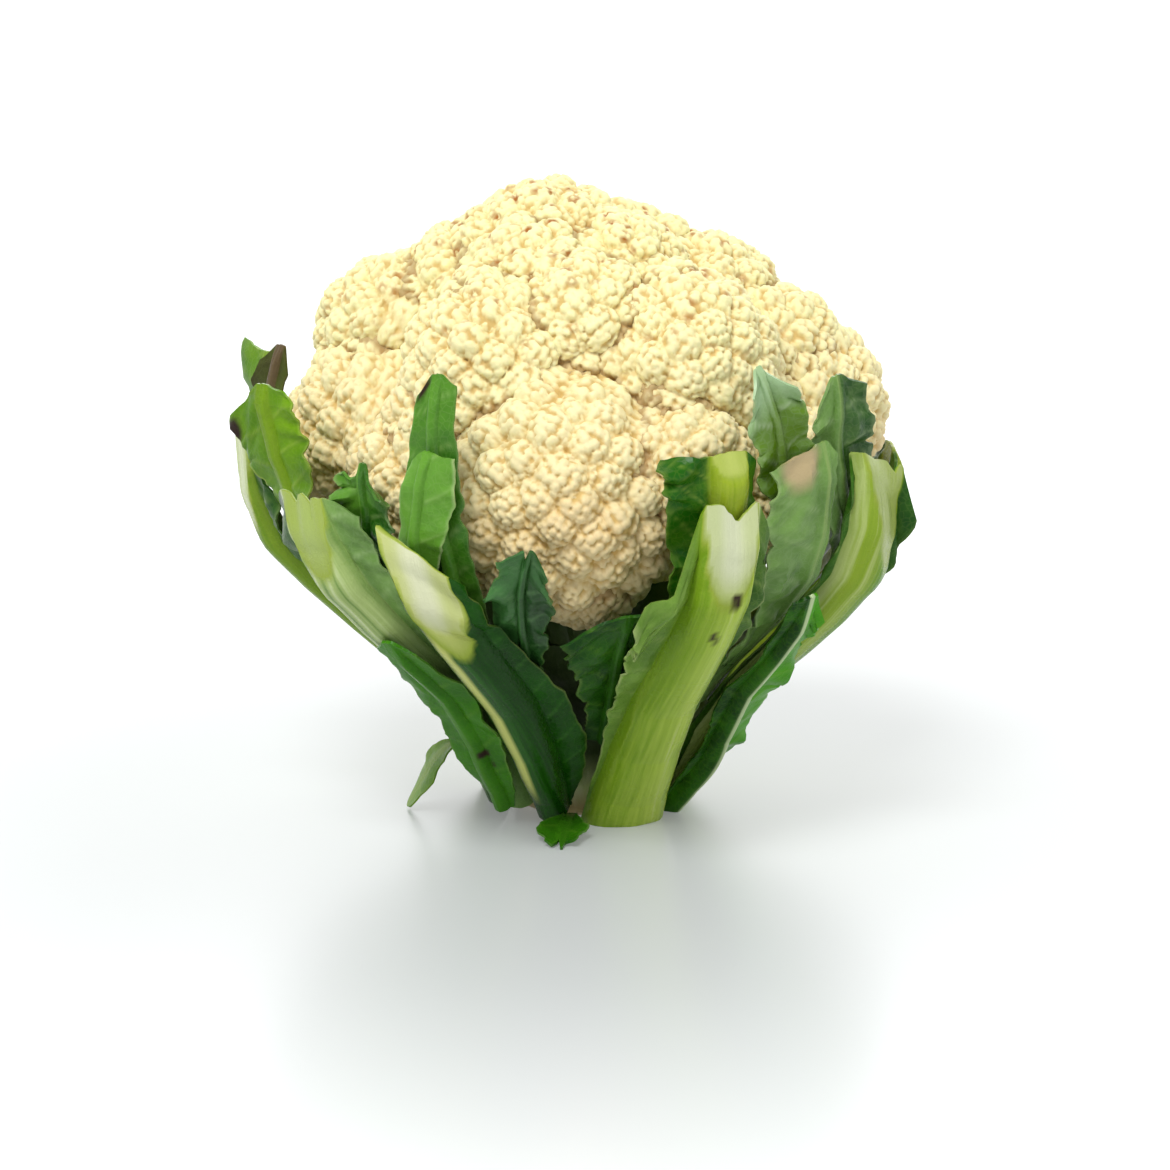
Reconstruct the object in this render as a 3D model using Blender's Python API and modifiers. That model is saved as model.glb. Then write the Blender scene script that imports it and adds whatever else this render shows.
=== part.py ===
"""A trimmed head of cauliflower, standing on its cut stalk.

The curd is a dome of florets on a stout stalk. Leaves wrap it like the staves of a flared
basket: their tops are sliced off, so thick pale midribs end in slanting knife cuts.

The row frame is in metres with +Z up. The origin is the middle of the cut stalk, on the
surface that the head stands on, and the viewer of the front looks along +Y. Azimuths are in
degrees from the front (-Y), growing to the viewer's right. Sizes in the tables are in
millimetres and are turned to metres where a mesh is made.
"""

import math
import random
from dataclasses import dataclass

import bmesh
import bpy
import numpy as np
from mathutils import Vector

MM = 0.001

# Driving dimensions of the head, in millimetres
CURD_CENTRE = (0.0, 0.0, 114.0)
CURD_CORE = (62.0, 62.0, 54.0)
CURD_CORE_BELOW = 68.0
CURD_UNDERSIDE = 58.0
CURD_CUTS = 18
FIT_GAP = 0.3

# Florets: x, y, z of the middle of each one, and its radius
FLORETS = (
    # the crown
    (-12, 2, 160, 29),
    (-36, 2, 152, 23),
    (14, 9, 158, 23),
    (37, -2, 150, 21),
    (-8, 34, 150, 23),
    (22, 36, 147, 22),
    (-14, -24, 161, 18),
    (12, -20, 163, 17),
    # the upper ring, from the front left round to the back
    (-27, -43, 138, 25),
    (0, -42, 151, 20),
    (29, -42, 138, 26),
    (57, -8, 136, 21),
    (41, 18, 152, 18),
    (-59, 4, 143, 22),
    (-40, 36, 140, 23),
    (4, 57, 128, 25),
    (50, 44, 124, 23),
    (-50, 50, 114, 23),
    # the lower ring, which the leaves hold
    (-6, -54, 104, 33),
    (27, -61, 112, 19),
    (-33, -54, 92, 17),
    (-64, -8, 114, 26),
    (-48, -43, 104, 20),
    (68, -6, 121, 24),
    (54, -41, 106, 20),
    (66, 22, 112, 22),
    (-64, 25, 110, 22),
    (-22, 61, 98, 25),
    (28, 63, 98, 23),
    (2, -60, 77, 12),
)
# Every floret is a ball, sunk by its body depth, that is covered with even lobes
LOBE_RADIUS = 8.6
LOBE_SPACING = 15.5
BODY_DEPTH = 9.0
# How softly the lobes meet, and how much the triangles crowd towards the crown
BLEND = 0.1
UPWARD_SHARE = 0.4
GOLDEN_ANGLE = math.pi * (3 - math.sqrt(5))

# The wall that the leaves lie against: height and radius
WALL = (
    (0, 23.5),
    (12, 27),
    (28, 35),
    (45, 48),
    (58, 62),
    (70, 74),
    (82, 84),
    (96, 89.5),
    (112, 91.5),
    (128, 89),
    (142, 83),
    (156, 72),
)

# The turned stalk: height and radius, from its cut foot up to the underside of the curd
STALK = ((0, 19.5), (1.5, 21.5), (14, 22.5), (30, 27), (43, 36), (CURD_UNDERSIDE - FIT_GAP, 47))
STALK_SIDES = 26

# A leaf's mesh, the plain blade, the share of half the width that is rib, and the edge's teeth
LEAF_ROWS = 11
LEAF_COLUMNS = 8
SMALL_ROWS = 8
SMALL_COLUMNS = 6
BLADE_THICKNESS = 1.0
RIB_SHARE = 0.5
TOOTH = 1.1


@dataclass
class Leaf:
    """One leaf, from its root on the stalk to its trimmed top."""

    name: str
    path: tuple  # azimuth in degrees, height, and how far it stands off the wall, root to top
    rib: tuple  # width of the midrib at the root, in the middle and at the top
    stout: tuple  # thickness of the midrib at the root and at the top
    left: tuple  # width of the blade on the left of the rib, at even steps from root to top
    right: tuple  # the same on the right
    top: tuple = (0, 0, 0)  # how far the left edge, the rib and the right edge pass the top
    cut: float = 0.85  # share of the length where the knife enters the rib
    cup: tuple = (0, 0)  # how far the left and the right edge bend outwards
    wave: tuple = (1.0, 2.0, 0.0)  # height, count and phase of the waves in the edges
    twist: float = 0  # degrees by which the top turns its right edge outwards
    small: bool = False
    slant: float = 0  # how much lower the knife leaves the rib on its right than on its left


LEAVES = (
    # the outer ring in front, from the right to the left
    Leaf("leaf_front_right", ((26, 0, 0.8), (24.5, 30, 7.2), (23.5, 62, 8.2), (23.5, 107, 9)),
         (24, 20, 16), (9, 7), (0, 3, 10, 20), (0, 2, 6, 5), (-33, 1, -10), 0.80,
         (1.5, 0), (1.0, 2.5, 0.5)),
    Leaf("leaf_right_low", ((61.4, 1, 0.8), (55.8, 20, 12.0), (48.6, 44, 13.3), (42.8, 78, 13.6)),
         (4, 5, 4), (6, 3), (0, 3, 4, 3), (0, 13, 15, 6), (-2, 0, -12), 0.9,
         (0, 3.0), (1.0, 3, 0)),
    Leaf("leaf_right_rib", ((86, 1, 0.8), (75, 26, 3), (61, 60, 6), (54, 117, 10)),
         (12, 21, 21), (4, 8), (0, 2, 3, 2), (0, 3, 5, 3), (-10, 3, -26), 0.74,
         (0, 0), (0.8, 2, 1), 8, slant=11),
    Leaf("leaf_front_left", ((-19.5, 5.5, 0.8), (-20, 26, 8), (-23, 56, 9.5), (-29, 101, 11)),
         (9, 15, 18), (7, 7.5), (0, 0.5, 1, 1), (0, 8, 6, 2), (-2, 2, -20), 0.66,
         (0, -2.5), (0.6, 1.5, 0), slant=18),
    Leaf("leaf_left_rib", ((-46.5, 5, 0.8), (-45.5, 26, 5.2), (-45, 66, 7.0), (-53, 108, 9)),
         (10, 15, 16), (4, 7), (0, 1, 6, 12), (0, 4, 8, 10), (-4, 0, -14), 0.80,
         (-3.5, 0.0), (0.8, 2.5, 2), -8, slant=6),
    Leaf("leaf_left_low", ((-40, 6, 11), (-38, 22, 15.5), (-37, 42, 17), (-40, 64, 18.5)),
         (5, 5, 4), (3, 2), (2, 7, 9, 6), (1, 6, 7, 5), (-3, 0, -6), 0.9,
         (1, 0), (0.8, 2, 0), 0, True),
    Leaf("leaf_far_left", ((-80, 1, 0.8), (-83, 26, 3), (-87, 60, 4.5), (-82, 112, 9.5)),
         (11, 13, 9), (4, 5), (0, 2, 5, 3), (0, 3, 14, 16), (-6, 2, -12), 0.82,
         (0, 1), (1.0, 2, 0), -14),
    # the outer ring behind
    Leaf("leaf_back_1", ((119, 1, 0.8), (116, 26, 6.5), (114, 60, 7.5), (112, 98, 9)),
         (14, 18, 15), (6, 7), (0, 3, 12, 9), (0, 4, 13, 9), (-8, 1, -12), 0.80,
         (1.5, 0.5), (1.0, 2.5, 1)),
    Leaf("leaf_back_2", ((160, 1, 0.8), (160, 26, 7), (161, 62, 8), (163, 104, 10)),
         (16, 18, 15), (8, 7), (0, 3, 12, 8), (0, 3, 12, 8), (-10, 2, -6), 0.76,
         (0.5, 0.5), (1.0, 2, 2)),
    Leaf("leaf_back_3", ((203, 1, 0.8), (203, 26, 7), (205, 62, 8), (211, 108, 10)),
         (15, 18, 16), (8, 7), (0, 3, 12, 9), (0, 3, 12, 9), (-5, 2, -13), 0.80,
         (0.5, 0.5), (1.0, 2.5, 0)),
    Leaf("leaf_back_4", ((244, 1, 0.8), (243, 26, 7), (242, 62, 8), (245, 103, 10)),
         (14, 17, 14), (8, 7), (0, 3, 11, 8), (0, 3, 10, 8), (-6, 1, -9), 0.78,
         (0.5, 0.5), (1.0, 2, 1)),
    # the inner ring in front, which shows above and between the outer ribs
    Leaf("leaf_inner_right", ((34, 24, 0.8), (30, 56, 0.9), (25.5, 92, 1.2), (24, 121, 5)),
         (9, 10, 10), (2.5, 4.5), (2, 8, 13, 14), (2, 4, 6, 3), (13, 0, -4), 0.9,
         (1.5, 0), (1.0, 2.5, 1)),
    Leaf("leaf_mid_right", ((50, 38, 0.9), (47, 62, 2.2), (43.5, 92, 5.5), (41, 122, 9)),
         (5, 4, 3), (0.6, 1.2), (1.5, 6, 16, 17), (1, 2, 2, 3), (-4, 0, -4), 0.9,
         (1.0, 0), (0.8, 2, 0), 5),
    Leaf("leaf_right_top", ((64, 68, 0.8), (56, 92, 1.2), (48, 116, 3.5), (45, 140, 14)),
         (5, 4, 3), (0.6, 1.5), (2, 5, 8, 6), (2, 6, 10, 7), (-6, 0, -5), 0.9,
         (1, 1), (0.8, 2, 1), 18, True),
    Leaf("leaf_right_curl", ((41, 90, 0.8), (37, 107, 0.9), (34, 124, 4), (28, 144, 15)),
         (4, 3, 2.5), (0.6, 1.2), (2, 5, 8, 5), (2, 5, 8, 6), (-6, 0, -3), 0.9,
         (1, 4), (0.5, 1.5, 0), 0, True),
    Leaf("leaf_middle", ((8, 28, 0.8), (8.5, 44, 0.8), (8, 60, 0.9), (9, 74, 1.5)),
         (5, 4, 3), (2, 1.5), (3, 7, 13, 17), (3, 5, 7, 6), (-10, 0, 4), 0.9,
         (3, 1), (0.7, 2, 1), 0, True),
    Leaf("leaf_middle_curl", ((-17, 50, 0.8), (-14, 64, 1.9), (-12, 80, 3), (-9, 96, 7)),
         (4, 3, 2.5), (1.5, 1.2), (2, 5, 8, 7), (2, 5, 8, 7), (-5, 0, -3), 0.9,
         (2, 3), (0.8, 1.5, 2), 0, True),
    Leaf("leaf_left_top", ((-64, 50, 0.8), (-65, 78, 0.9), (-67, 106, 3), (-67, 133, 13)),
         (6, 5, 4), (0.6, 2), (2, 5, 9, 13), (2, 7, 11, 9), (-12, 0, -2), 0.9,
         (0, 0), (1.0, 2, 0), -28),
    Leaf("leaf_inner_left", ((-26, 60, 0.8), (-25, 84, 0.9), (-26, 110, 2), (-26, 142, 8)),
         (5, 4, 3), (2.5, 1.5), (2, 5, 6, 4), (2, 5, 6, 4), (-6, 0, -3), 0.9,
         (1, 0), (0.6, 2, 0), 0, True),
    Leaf("leaf_inner_left_low", ((-31, 78, 3.9), (-30, 92, 5.0), (-28, 106, 6), (-25, 122, 10)),
         (4, 3, 2.5), (2, 1.2), (1, 3, 4, 3), (2, 6, 9, 7), (-4, 0, 1), 0.9,
         (0, 0), (0.5, 2, 0), 0, True),
    Leaf("leaf_left_curl", ((-46, 60, 0.8), (-44, 80, 0.9), (-42, 98, 2), (-40, 116, 6)),
         (4, 3, 2.5), (1.5, 1.2), (2, 6, 9, 8), (2, 6, 9, 8), (-5, 0, -3), 0.9,
         (1, 1.5), (0.8, 1.5, 1), 0, True),
    Leaf("leaf_far_left_dark", ((-84, 80, 0.8), (-85, 100, 0.9), (-87, 120, 2), (-88, 139, 5)),
         (5, 4, 3), (0.6, 1.5), (2, 4, 6, 4), (2, 4, 5, 4), (-6, 0, -8), 0.9,
         (1, 1), (0.6, 1.5, 0), -45, True),
    # the inner ring behind
    Leaf("leaf_inner_back_1", ((104, 30, 0.8), (102, 60, 0.9), (100, 84, 1), (98, 106, 2)),
         (9, 9, 8), (3, 5), (2, 6, 14, 12), (2, 8, 14, 12), (-4, 1, -5), 0.9,
         (0, 1), (0.9, 2, 1)),
    Leaf("leaf_inner_back_2", ((138, 30, 0.8), (137, 70, 0.9), (135, 104, 2), (135, 128, 6)),
         (9, 8, 6), (3, 4), (2, 7, 13, 11), (2, 7, 13, 11), (-6, 1, -3), 0.9,
         (0, 1), (0.9, 2, 2), 0, True),
    Leaf("leaf_inner_back_3", ((180, 30, 0.8), (181, 70, 0.9), (184, 104, 2), (186, 124, 5)),
         (9, 8, 6), (3, 4), (2, 7, 13, 11), (2, 7, 13, 11), (-4, 1, -6), 0.9,
         (0, 1), (0.9, 2, 0), 0, True),
    Leaf("leaf_inner_back_4", ((222, 30, 0.8), (223, 70, 0.9), (226, 108, 3), (230, 140, 12)),
         (9, 8, 6), (3, 4), (2, 7, 12, 10), (2, 7, 12, 10), (-5, 1, -4), 0.9,
         (0, 1), (0.9, 2, 1), 0, True),
    Leaf("leaf_inner_back_5", ((258, 50, 0.8), (259, 80, 0.9), (259, 108, 4), (258, 134, 12)),
         (6, 5, 4), (0.6, 2), (2, 4, 8, 12), (2, 4, 7, 7), (2, 0, -5), 0.9,
         (0, 0), (0.9, 2, 2), -50, True),
    # two small leaves at the foot, which droop to the surface
    Leaf("leaf_foot_front", ((-8, 2.2, 0.8), (-8, 3.6, 10), (-8, 3.0, 22), (-7, 1.0, 33)),
         (2, 3, 2), (0.8, 0.6), (0.5, 0.8, 6, 4), (0.5, 0.8, 6, 4), (-3, 0, -3), 0.9,
         (-1, -1), (0.4, 1.5, 0), 0, True),
    Leaf("leaf_foot_left", ((-64, 18, 0.8), (-64, 23, 9), (-69, 16, 20), (-78, 1.0, 31)),
         (2, 3, 2), (0.8, 0.6), (0.5, 1, 5, 3), (0.5, 1, 5, 3), (-3, 0, -3), 0.9,
         (0, 0), (0.4, 1.5, 0), 0, True),
)


def wall_radius(height):
    """Radius of the wall that the leaves lie against, at a height."""
    heights, radii = zip(*WALL)
    return float(np.interp(height, heights, radii))


def along(values, share):
    """Smooth value at a share from 0 to 1 of a tuple of evenly spaced values."""
    last = len(values) - 1
    place = min(max(share, 0.0), 1.0) * last
    i = min(int(place), last - 1)
    t = place - i
    before = values[max(i - 1, 0)]
    after = values[min(i + 2, last)]
    a, b = values[i], values[i + 1]
    slope_a = (b - before) / 2 if i else b - a
    slope_b = (after - a) / 2 if i + 2 <= last else b - a
    return (
        a * (2 * t**3 - 3 * t**2 + 1)
        + slope_a * (t**3 - 2 * t**2 + t)
        + b * (3 * t**2 - 2 * t**3)
        + slope_b * (t**3 - t**2)
    )


def smooth_step(low, high, value):
    """0 below low, 1 above high, smooth between."""
    t = min(max((value - low) / (high - low), 0.0), 1.0)
    return t * t * (3 - 2 * t)


def path_point(leaf, share):
    """Azimuth in radians, radius and height of a leaf's middle line."""
    azimuth, height, lift = (along(column, share) for column in zip(*leaf.path))
    return math.radians(azimuth), wall_radius(height) + lift, height


def leaf_point(leaf, across, share):
    """Point on a leaf's inner face and its thickness there, in millimetres.

    across runs from -1 at the left edge to 1 at the right edge, with the rib in the middle.
    """
    step = 0.02
    azimuth, radius, height = path_point(leaf, share)
    ahead = path_point(leaf, share + step) if share < 1 - step else None
    behind = path_point(leaf, share - step) if share > step else None
    end, start = ahead or (azimuth, radius, height), behind or (azimuth, radius, height)
    rise = math.hypot(end[1] - start[1], end[2] - start[2])
    out_part, up_part = (end[1] - start[1]) / rise, (end[2] - start[2]) / rise
    lean = math.atan2((end[0] - start[0]) * radius, rise)

    half_rib = along(leaf.rib, share) / 2
    side = -1 if across < 0 else 1
    reach = abs(across)
    edge = max(0.0, reach - RIB_SHARE) / (1 - RIB_SHARE)
    blade = along(leaf.left if side < 0 else leaf.right, share)
    blade += TOOTH * math.cos(math.pi * share * LEAF_ROWS) * min(1.0, blade / 6)
    sideways = side * (min(reach, RIB_SHARE) / RIB_SHARE * half_rib + edge * max(blade, 0.5))

    left_top, rib_top, right_top = leaf.top
    edge_top = left_top if side < 0 else right_top
    rib_top -= leaf.slant * (min(max(across / RIB_SHARE, -1.0), 1.0) + 1) / 2
    onwards = (rib_top + (edge_top - rib_top) * edge) * smooth_step(0.55, 1.0, share)

    height_of_wave, count, phase = leaf.wave
    bend = leaf.cup[0] if side < 0 else leaf.cup[1]
    wave = height_of_wave * math.sin(2 * math.pi * count * share + phase + side)
    off = edge**1.5 * (bend * smooth_step(0.0, 0.35, share) + wave * smooth_step(0.1, 0.5, share))

    twist = math.radians(leaf.twist) * smooth_step(0.4, 0.9, share)
    off += sideways * math.sin(twist)
    sideways *= math.cos(twist)

    turn = sideways * math.cos(lean) + onwards * math.sin(lean)
    slide = -sideways * math.sin(lean) + onwards * math.cos(lean)
    azimuth += turn / radius
    radius += out_part * slide + up_part * off
    height += up_part * slide - out_part * off

    rib_height = leaf.stout[0] + (leaf.stout[1] - leaf.stout[0]) * share
    knife = 1 - max(0.0, share - leaf.cut) / (1 - leaf.cut)
    round_off = math.sqrt(max(0.0, 1 - min(1.0, reach / RIB_SHARE) ** 2.4))
    thickness = BLADE_THICKNESS + rib_height * round_off * knife
    point = (radius * math.sin(azimuth), -radius * math.cos(azimuth), height)
    return point, thickness


def finish_material(name, colour, roughness):
    """A plain Principled material, with its colour in linear values."""
    material = bpy.data.materials.new(name)
    material.use_nodes = True
    shader = material.node_tree.nodes["Principled BSDF"]
    shader.inputs["Base Color"].default_value = (*colour, 1)
    shader.inputs["Roughness"].default_value = roughness
    shader.inputs["Metallic"].default_value = 0.0
    return material


def add_object(name, mesh, material, collection):
    """Links a new smooth-shaded object with its own material."""
    mesh.materials.append(material)
    mesh.shade_smooth()
    obj = bpy.data.objects.new(name, mesh)
    collection.objects.link(obj)
    return obj


def lobe_balls():
    """Middles and radii of the lobes that every floret is made of, set by the golden angle."""
    middles, radii = [], []
    for number, (x, y, z, size) in enumerate(FLORETS):
        draw = random.Random(number)
        turn = draw.uniform(0, 2 * math.pi)
        middles.append((x, y, z))
        radii.append(size - BODY_DEPTH)
        reach = size - LOBE_RADIUS
        lobes = max(4, round(4 * math.pi * (reach / LOBE_SPACING) ** 2))
        for k in range(lobes):
            polar = math.acos(1 - 2 * (k + 0.5) / lobes)
            round_angle = turn + k * GOLDEN_ANGLE
            scale = draw.uniform(0.9, 1.12)
            middles.append((
                x + reach * math.sin(polar) * math.cos(round_angle),
                y + reach * math.sin(polar) * math.sin(round_angle),
                z + reach * math.cos(polar),
            ))
            radii.append(LOBE_RADIUS * scale)
    return np.array(middles, float), np.array(radii, float)


def curd_reach(directions):
    """How far the curd reaches from its centre along unit directions, in millimetres."""
    middles, radii = lobe_balls()
    centre = np.array(CURD_CENTRE)
    nearest = directions @ (middles - centre).T
    miss = radii**2 - ((middles - centre) ** 2).sum(1) + nearest**2
    hits = np.where(miss > 0, nearest + np.sqrt(np.maximum(miss, 0)), 0)
    core_axes = np.tile(CURD_CORE, (len(directions), 1))
    core_axes[directions[:, 2] < 0, 2] = CURD_CORE_BELOW
    core = 1 / np.sqrt(((directions / core_axes) ** 2).sum(1))
    hits = np.concatenate([hits, core[:, None]], axis=1)
    top = hits.max(axis=1, keepdims=True)
    reach = (top + BLEND * np.log(np.exp((hits - top) / BLEND).sum(axis=1, keepdims=True)))[:, 0]
    down = np.minimum(directions[:, 2], -1e-6)
    floor = np.where(directions[:, 2] < 0, (CURD_UNDERSIDE - CURD_CENTRE[2]) / down, np.inf)
    return np.minimum(reach, floor)


def build_curd(collection):
    """The dome of florets: a ball of even triangles pushed out over every lobe."""
    bm = bmesh.new()
    bmesh.ops.create_icosphere(bm, subdivisions=1, radius=1.0)
    bmesh.ops.subdivide_edges(bm, edges=bm.edges[:], cuts=CURD_CUTS, use_grid_fill=True)
    bmesh.ops.triangulate(bm, faces=bm.faces[:])
    upwards = Vector((0, 0, UPWARD_SHARE))
    directions = np.array([(vertex.co.normalized() + upwards).normalized() for vertex in bm.verts])
    reach = curd_reach(directions)
    points = np.array(CURD_CENTRE) + directions * reach[:, None]
    for vertex, point in zip(bm.verts, points):
        vertex.co = point * MM
    mesh = bpy.data.meshes.new("curd")
    bm.to_mesh(mesh)
    bm.free()
    cream = finish_material("curd_cream", (0.86, 0.74, 0.46), 0.6)
    add_object("curd", mesh, cream, collection)


def build_stalk(collection):
    """The stalk, turned from its profile, with its foot cut flat."""
    profile = [(0.0, STALK[-1][0])] + [(r, z) for z, r in reversed(STALK)] + [(0.0, 0.0)]
    mesh = bpy.data.meshes.new("stalk")
    edges = [(i, i + 1) for i in range(len(profile) - 1)]
    mesh.from_pydata([(r * MM, 0, z * MM) for r, z in profile], edges, [])
    pale = finish_material("stalk_flesh", (0.62, 0.68, 0.34), 0.5)
    stalk = add_object("stalk", mesh, pale, collection)
    screw = stalk.modifiers.new("turn", "SCREW")
    screw.steps = screw.render_steps = STALK_SIDES
    screw.use_merge_vertices = True
    screw.merge_threshold = 0.00001


def build_leaf(leaf, material, collection):
    """One leaf: a grid laid on its inner face, thickened outwards and cut flat at the foot."""
    columns, rows = (SMALL_COLUMNS, SMALL_ROWS) if leaf.small else (LEAF_COLUMNS, LEAF_ROWS)
    bm = bmesh.new()
    bmesh.ops.create_grid(bm, x_segments=columns, y_segments=rows, size=1.0)
    bmesh.ops.triangulate(bm, faces=bm.faces[:])
    thicknesses = []
    for vertex in bm.verts:
        point, thickness = leaf_point(leaf, vertex.co.x, (vertex.co.y + 1) / 2)
        vertex.co = [value * MM for value in point]
        thicknesses.append(thickness)
    mesh = bpy.data.meshes.new(leaf.name)
    bm.to_mesh(mesh)
    bm.free()
    obj = add_object(leaf.name, mesh, material, collection)
    thickest = max(thicknesses)
    group = obj.vertex_groups.new(name="thickness")
    for index, thickness in enumerate(thicknesses):
        group.add([index], thickness / thickest, "REPLACE")
    solidify = obj.modifiers.new("flesh", "SOLIDIFY")
    solidify.thickness = thickest * MM
    solidify.offset = 1.0
    solidify.vertex_group = group.name
    bpy.context.view_layer.update()
    graph = bpy.context.evaluated_depsgraph_get()
    solid = bpy.data.meshes.new_from_object(obj.evaluated_get(graph))
    obj.modifiers.clear()
    obj.vertex_groups.clear()
    obj.data = solid
    for vertex in solid.vertices:
        vertex.co.z = max(vertex.co.z, 0.0)


def main():
    for obj in list(bpy.data.objects):
        bpy.data.objects.remove(obj)
    collection = bpy.data.collections.new("cauliflower")
    bpy.context.scene.collection.children.link(collection)
    build_curd(collection)
    build_stalk(collection)
    green = finish_material("leaf_green", (0.06, 0.22, 0.03), 0.4)
    for leaf in LEAVES:
        build_leaf(leaf, green, collection)


main()
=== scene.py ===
"""A trimmed head of cauliflower, dressed over its CAD frame.

The CAD model gives the forms: a dome of florets, a cut stalk and sliced leaves that wrap it.
This script replaces each node with a finer piece of the same form. Florets gain knobs and
buds, leaves gain toothed and ruffled margins, veins, striped midribs and glossy knife cuts.

The frame is in metres with +Z up. The origin is the middle of the cut stalk, and the viewer of
the front looks along +Y. Azimuths are in degrees from the front (-Y), growing to the viewer's
right. The tables repeat those of the CAD source, in millimetres.
"""

import logging
import math
from collections.abc import Callable, Iterator
from contextlib import contextmanager
from dataclasses import dataclass
from enum import Enum

import bpy
import numpy as np
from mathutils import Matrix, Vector, noise


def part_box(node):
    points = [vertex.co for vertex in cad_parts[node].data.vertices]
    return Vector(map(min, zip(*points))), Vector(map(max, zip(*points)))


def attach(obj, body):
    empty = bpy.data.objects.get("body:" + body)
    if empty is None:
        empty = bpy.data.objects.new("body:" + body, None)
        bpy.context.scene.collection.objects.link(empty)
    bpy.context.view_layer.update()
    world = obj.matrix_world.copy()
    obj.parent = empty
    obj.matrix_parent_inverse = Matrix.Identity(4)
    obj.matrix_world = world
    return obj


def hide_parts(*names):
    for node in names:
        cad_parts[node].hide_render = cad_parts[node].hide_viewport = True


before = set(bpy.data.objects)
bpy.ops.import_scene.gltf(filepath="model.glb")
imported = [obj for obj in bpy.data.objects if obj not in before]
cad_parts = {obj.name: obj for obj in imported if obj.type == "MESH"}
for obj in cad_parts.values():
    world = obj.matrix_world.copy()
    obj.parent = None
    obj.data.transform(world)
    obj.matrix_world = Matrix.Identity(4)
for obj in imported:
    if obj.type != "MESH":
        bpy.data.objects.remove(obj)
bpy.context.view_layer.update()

LOG = logging.getLogger("cauliflower")

MM = 0.001
BODY = "root"
GOLDEN_ANGLE = math.pi * (3 - math.sqrt(5))

# Sockets of a colour Mix node, which are found by number
FACTOR, COLOUR_A, COLOUR_B, COLOUR_OUT = 0, 6, 7, 2
WHITE = (1.0, 1.0, 1.0, 1.0)


def linear(hex_colour: str) -> tuple[float, float, float, float]:
    """Turns an sRGB hex colour to linear values with full alpha.

    Args:
        hex_colour: The colour as six hex digits after a hash.

    Returns:
        Red, green, blue and alpha, from 0 to 1.
    """
    channels = []
    for place in (1, 3, 5):
        value = int(hex_colour[place:place + 2], 16) / 255
        channels.append(value / 12.92 if value <= 0.04045 else ((value + 0.055) / 1.055) ** 2.4)
    return channels[0], channels[1], channels[2], 1.0


def smooth_step(low: float, high: float, value: np.ndarray) -> np.ndarray:
    """Eases from 0 below low to 1 above high.

    Args:
        low: Where the rise starts.
        high: Where the rise ends.
        value: The values to ease.

    Returns:
        Shares from 0 to 1.
    """
    t = np.clip((value - low) / (high - low), 0.0, 1.0)
    return t * t * (3 - 2 * t)


def along(values: tuple, share: np.ndarray) -> np.ndarray:
    """Reads a smooth curve through evenly spaced values.

    Args:
        values: The values from root to top.
        share: Places from 0 to 1.

    Returns:
        The curve's value at each place.
    """
    points = np.asarray(values, float)
    last = len(points) - 1
    place = np.clip(share, 0.0, 1.0) * last
    i = np.minimum(place.astype(int), last - 1)
    t = place - i
    a, b = points[i], points[i + 1]
    before = points[np.maximum(i - 1, 0)]
    after = points[np.minimum(i + 2, last)]
    slope_a = np.where(i > 0, (b - before) / 2, b - a)
    slope_b = np.where(i + 2 <= last, (after - a) / 2, b - a)
    return (
        a * (2 * t**3 - 3 * t**2 + 1)
        + slope_a * (t**3 - 2 * t**2 + t)
        + b * (3 * t**2 - 2 * t**3)
        + slope_b * (t**3 - t**2)
    )


def wander(points: np.ndarray, size: float, seed: float) -> np.ndarray:
    """Smooth random values that hold still from run to run.

    Args:
        points: Places, one row each, in millimetres.
        size: Width of the swells, in millimetres.
        seed: Shifts the pattern, so that each piece has its own.

    Returns:
        Values from about -1 to 1.
    """
    shift = Vector((seed * 7.3, seed * 3.1, seed * 5.7))
    return np.array([noise.noise(Vector(point) / size + shift) for point in points])


def unit(rows: np.ndarray) -> np.ndarray:
    """Scales each row to length one."""
    return rows / np.linalg.norm(rows, axis=1, keepdims=True)


def select_only(*objects: bpy.types.Object) -> None:
    """Selects these objects and nothing else, and makes the first one active."""
    bpy.ops.object.select_all(action="DESELECT")
    for obj in objects:
        obj.select_set(True)
    bpy.context.view_layer.objects.active = objects[0]


def start_with(operator: Callable, **settings: object) -> bpy.types.Object:
    """Adds a primitive, a lamp or a camera with nothing else selected.

    Args:
        operator: The operator that adds it.
        settings: What the operator is given.

    Returns:
        The new object.
    """
    bpy.ops.object.select_all(action="DESELECT")
    operator(**settings)
    return bpy.context.active_object


@contextmanager
def edit_mode() -> Iterator[None]:
    """Opens the active object in edit mode with all of it selected, and closes it after."""
    bpy.ops.object.mode_set(mode="EDIT")
    bpy.ops.mesh.select_all(action="SELECT")
    yield
    bpy.ops.object.mode_set(mode="OBJECT")


def read_points(obj: bpy.types.Object) -> np.ndarray:
    """Returns a mesh's vertices, one row each."""
    values = np.empty(len(obj.data.vertices) * 3)
    obj.data.vertices.foreach_get("co", values)
    return values.reshape(-1, 3)


def write_points(obj: bpy.types.Object, points: np.ndarray) -> None:
    """Moves a mesh's vertices to new places, one row each."""
    obj.data.vertices.foreach_set("co", points.ravel())
    obj.data.update()


def write_attribute(obj: bpy.types.Object, name: str, values: np.ndarray) -> None:
    """Stores one value or vector for each vertex.

    Args:
        obj: The piece.
        name: The attribute that its material reads.
        values: One number for each vertex, or one row of three.
    """
    kind, field = ("FLOAT", "value") if values.ndim == 1 else ("FLOAT_VECTOR", "vector")
    layer = obj.data.attributes.new(name, kind, "POINT")
    layer.data.foreach_set(field, values.astype(np.float32).ravel())


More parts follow.
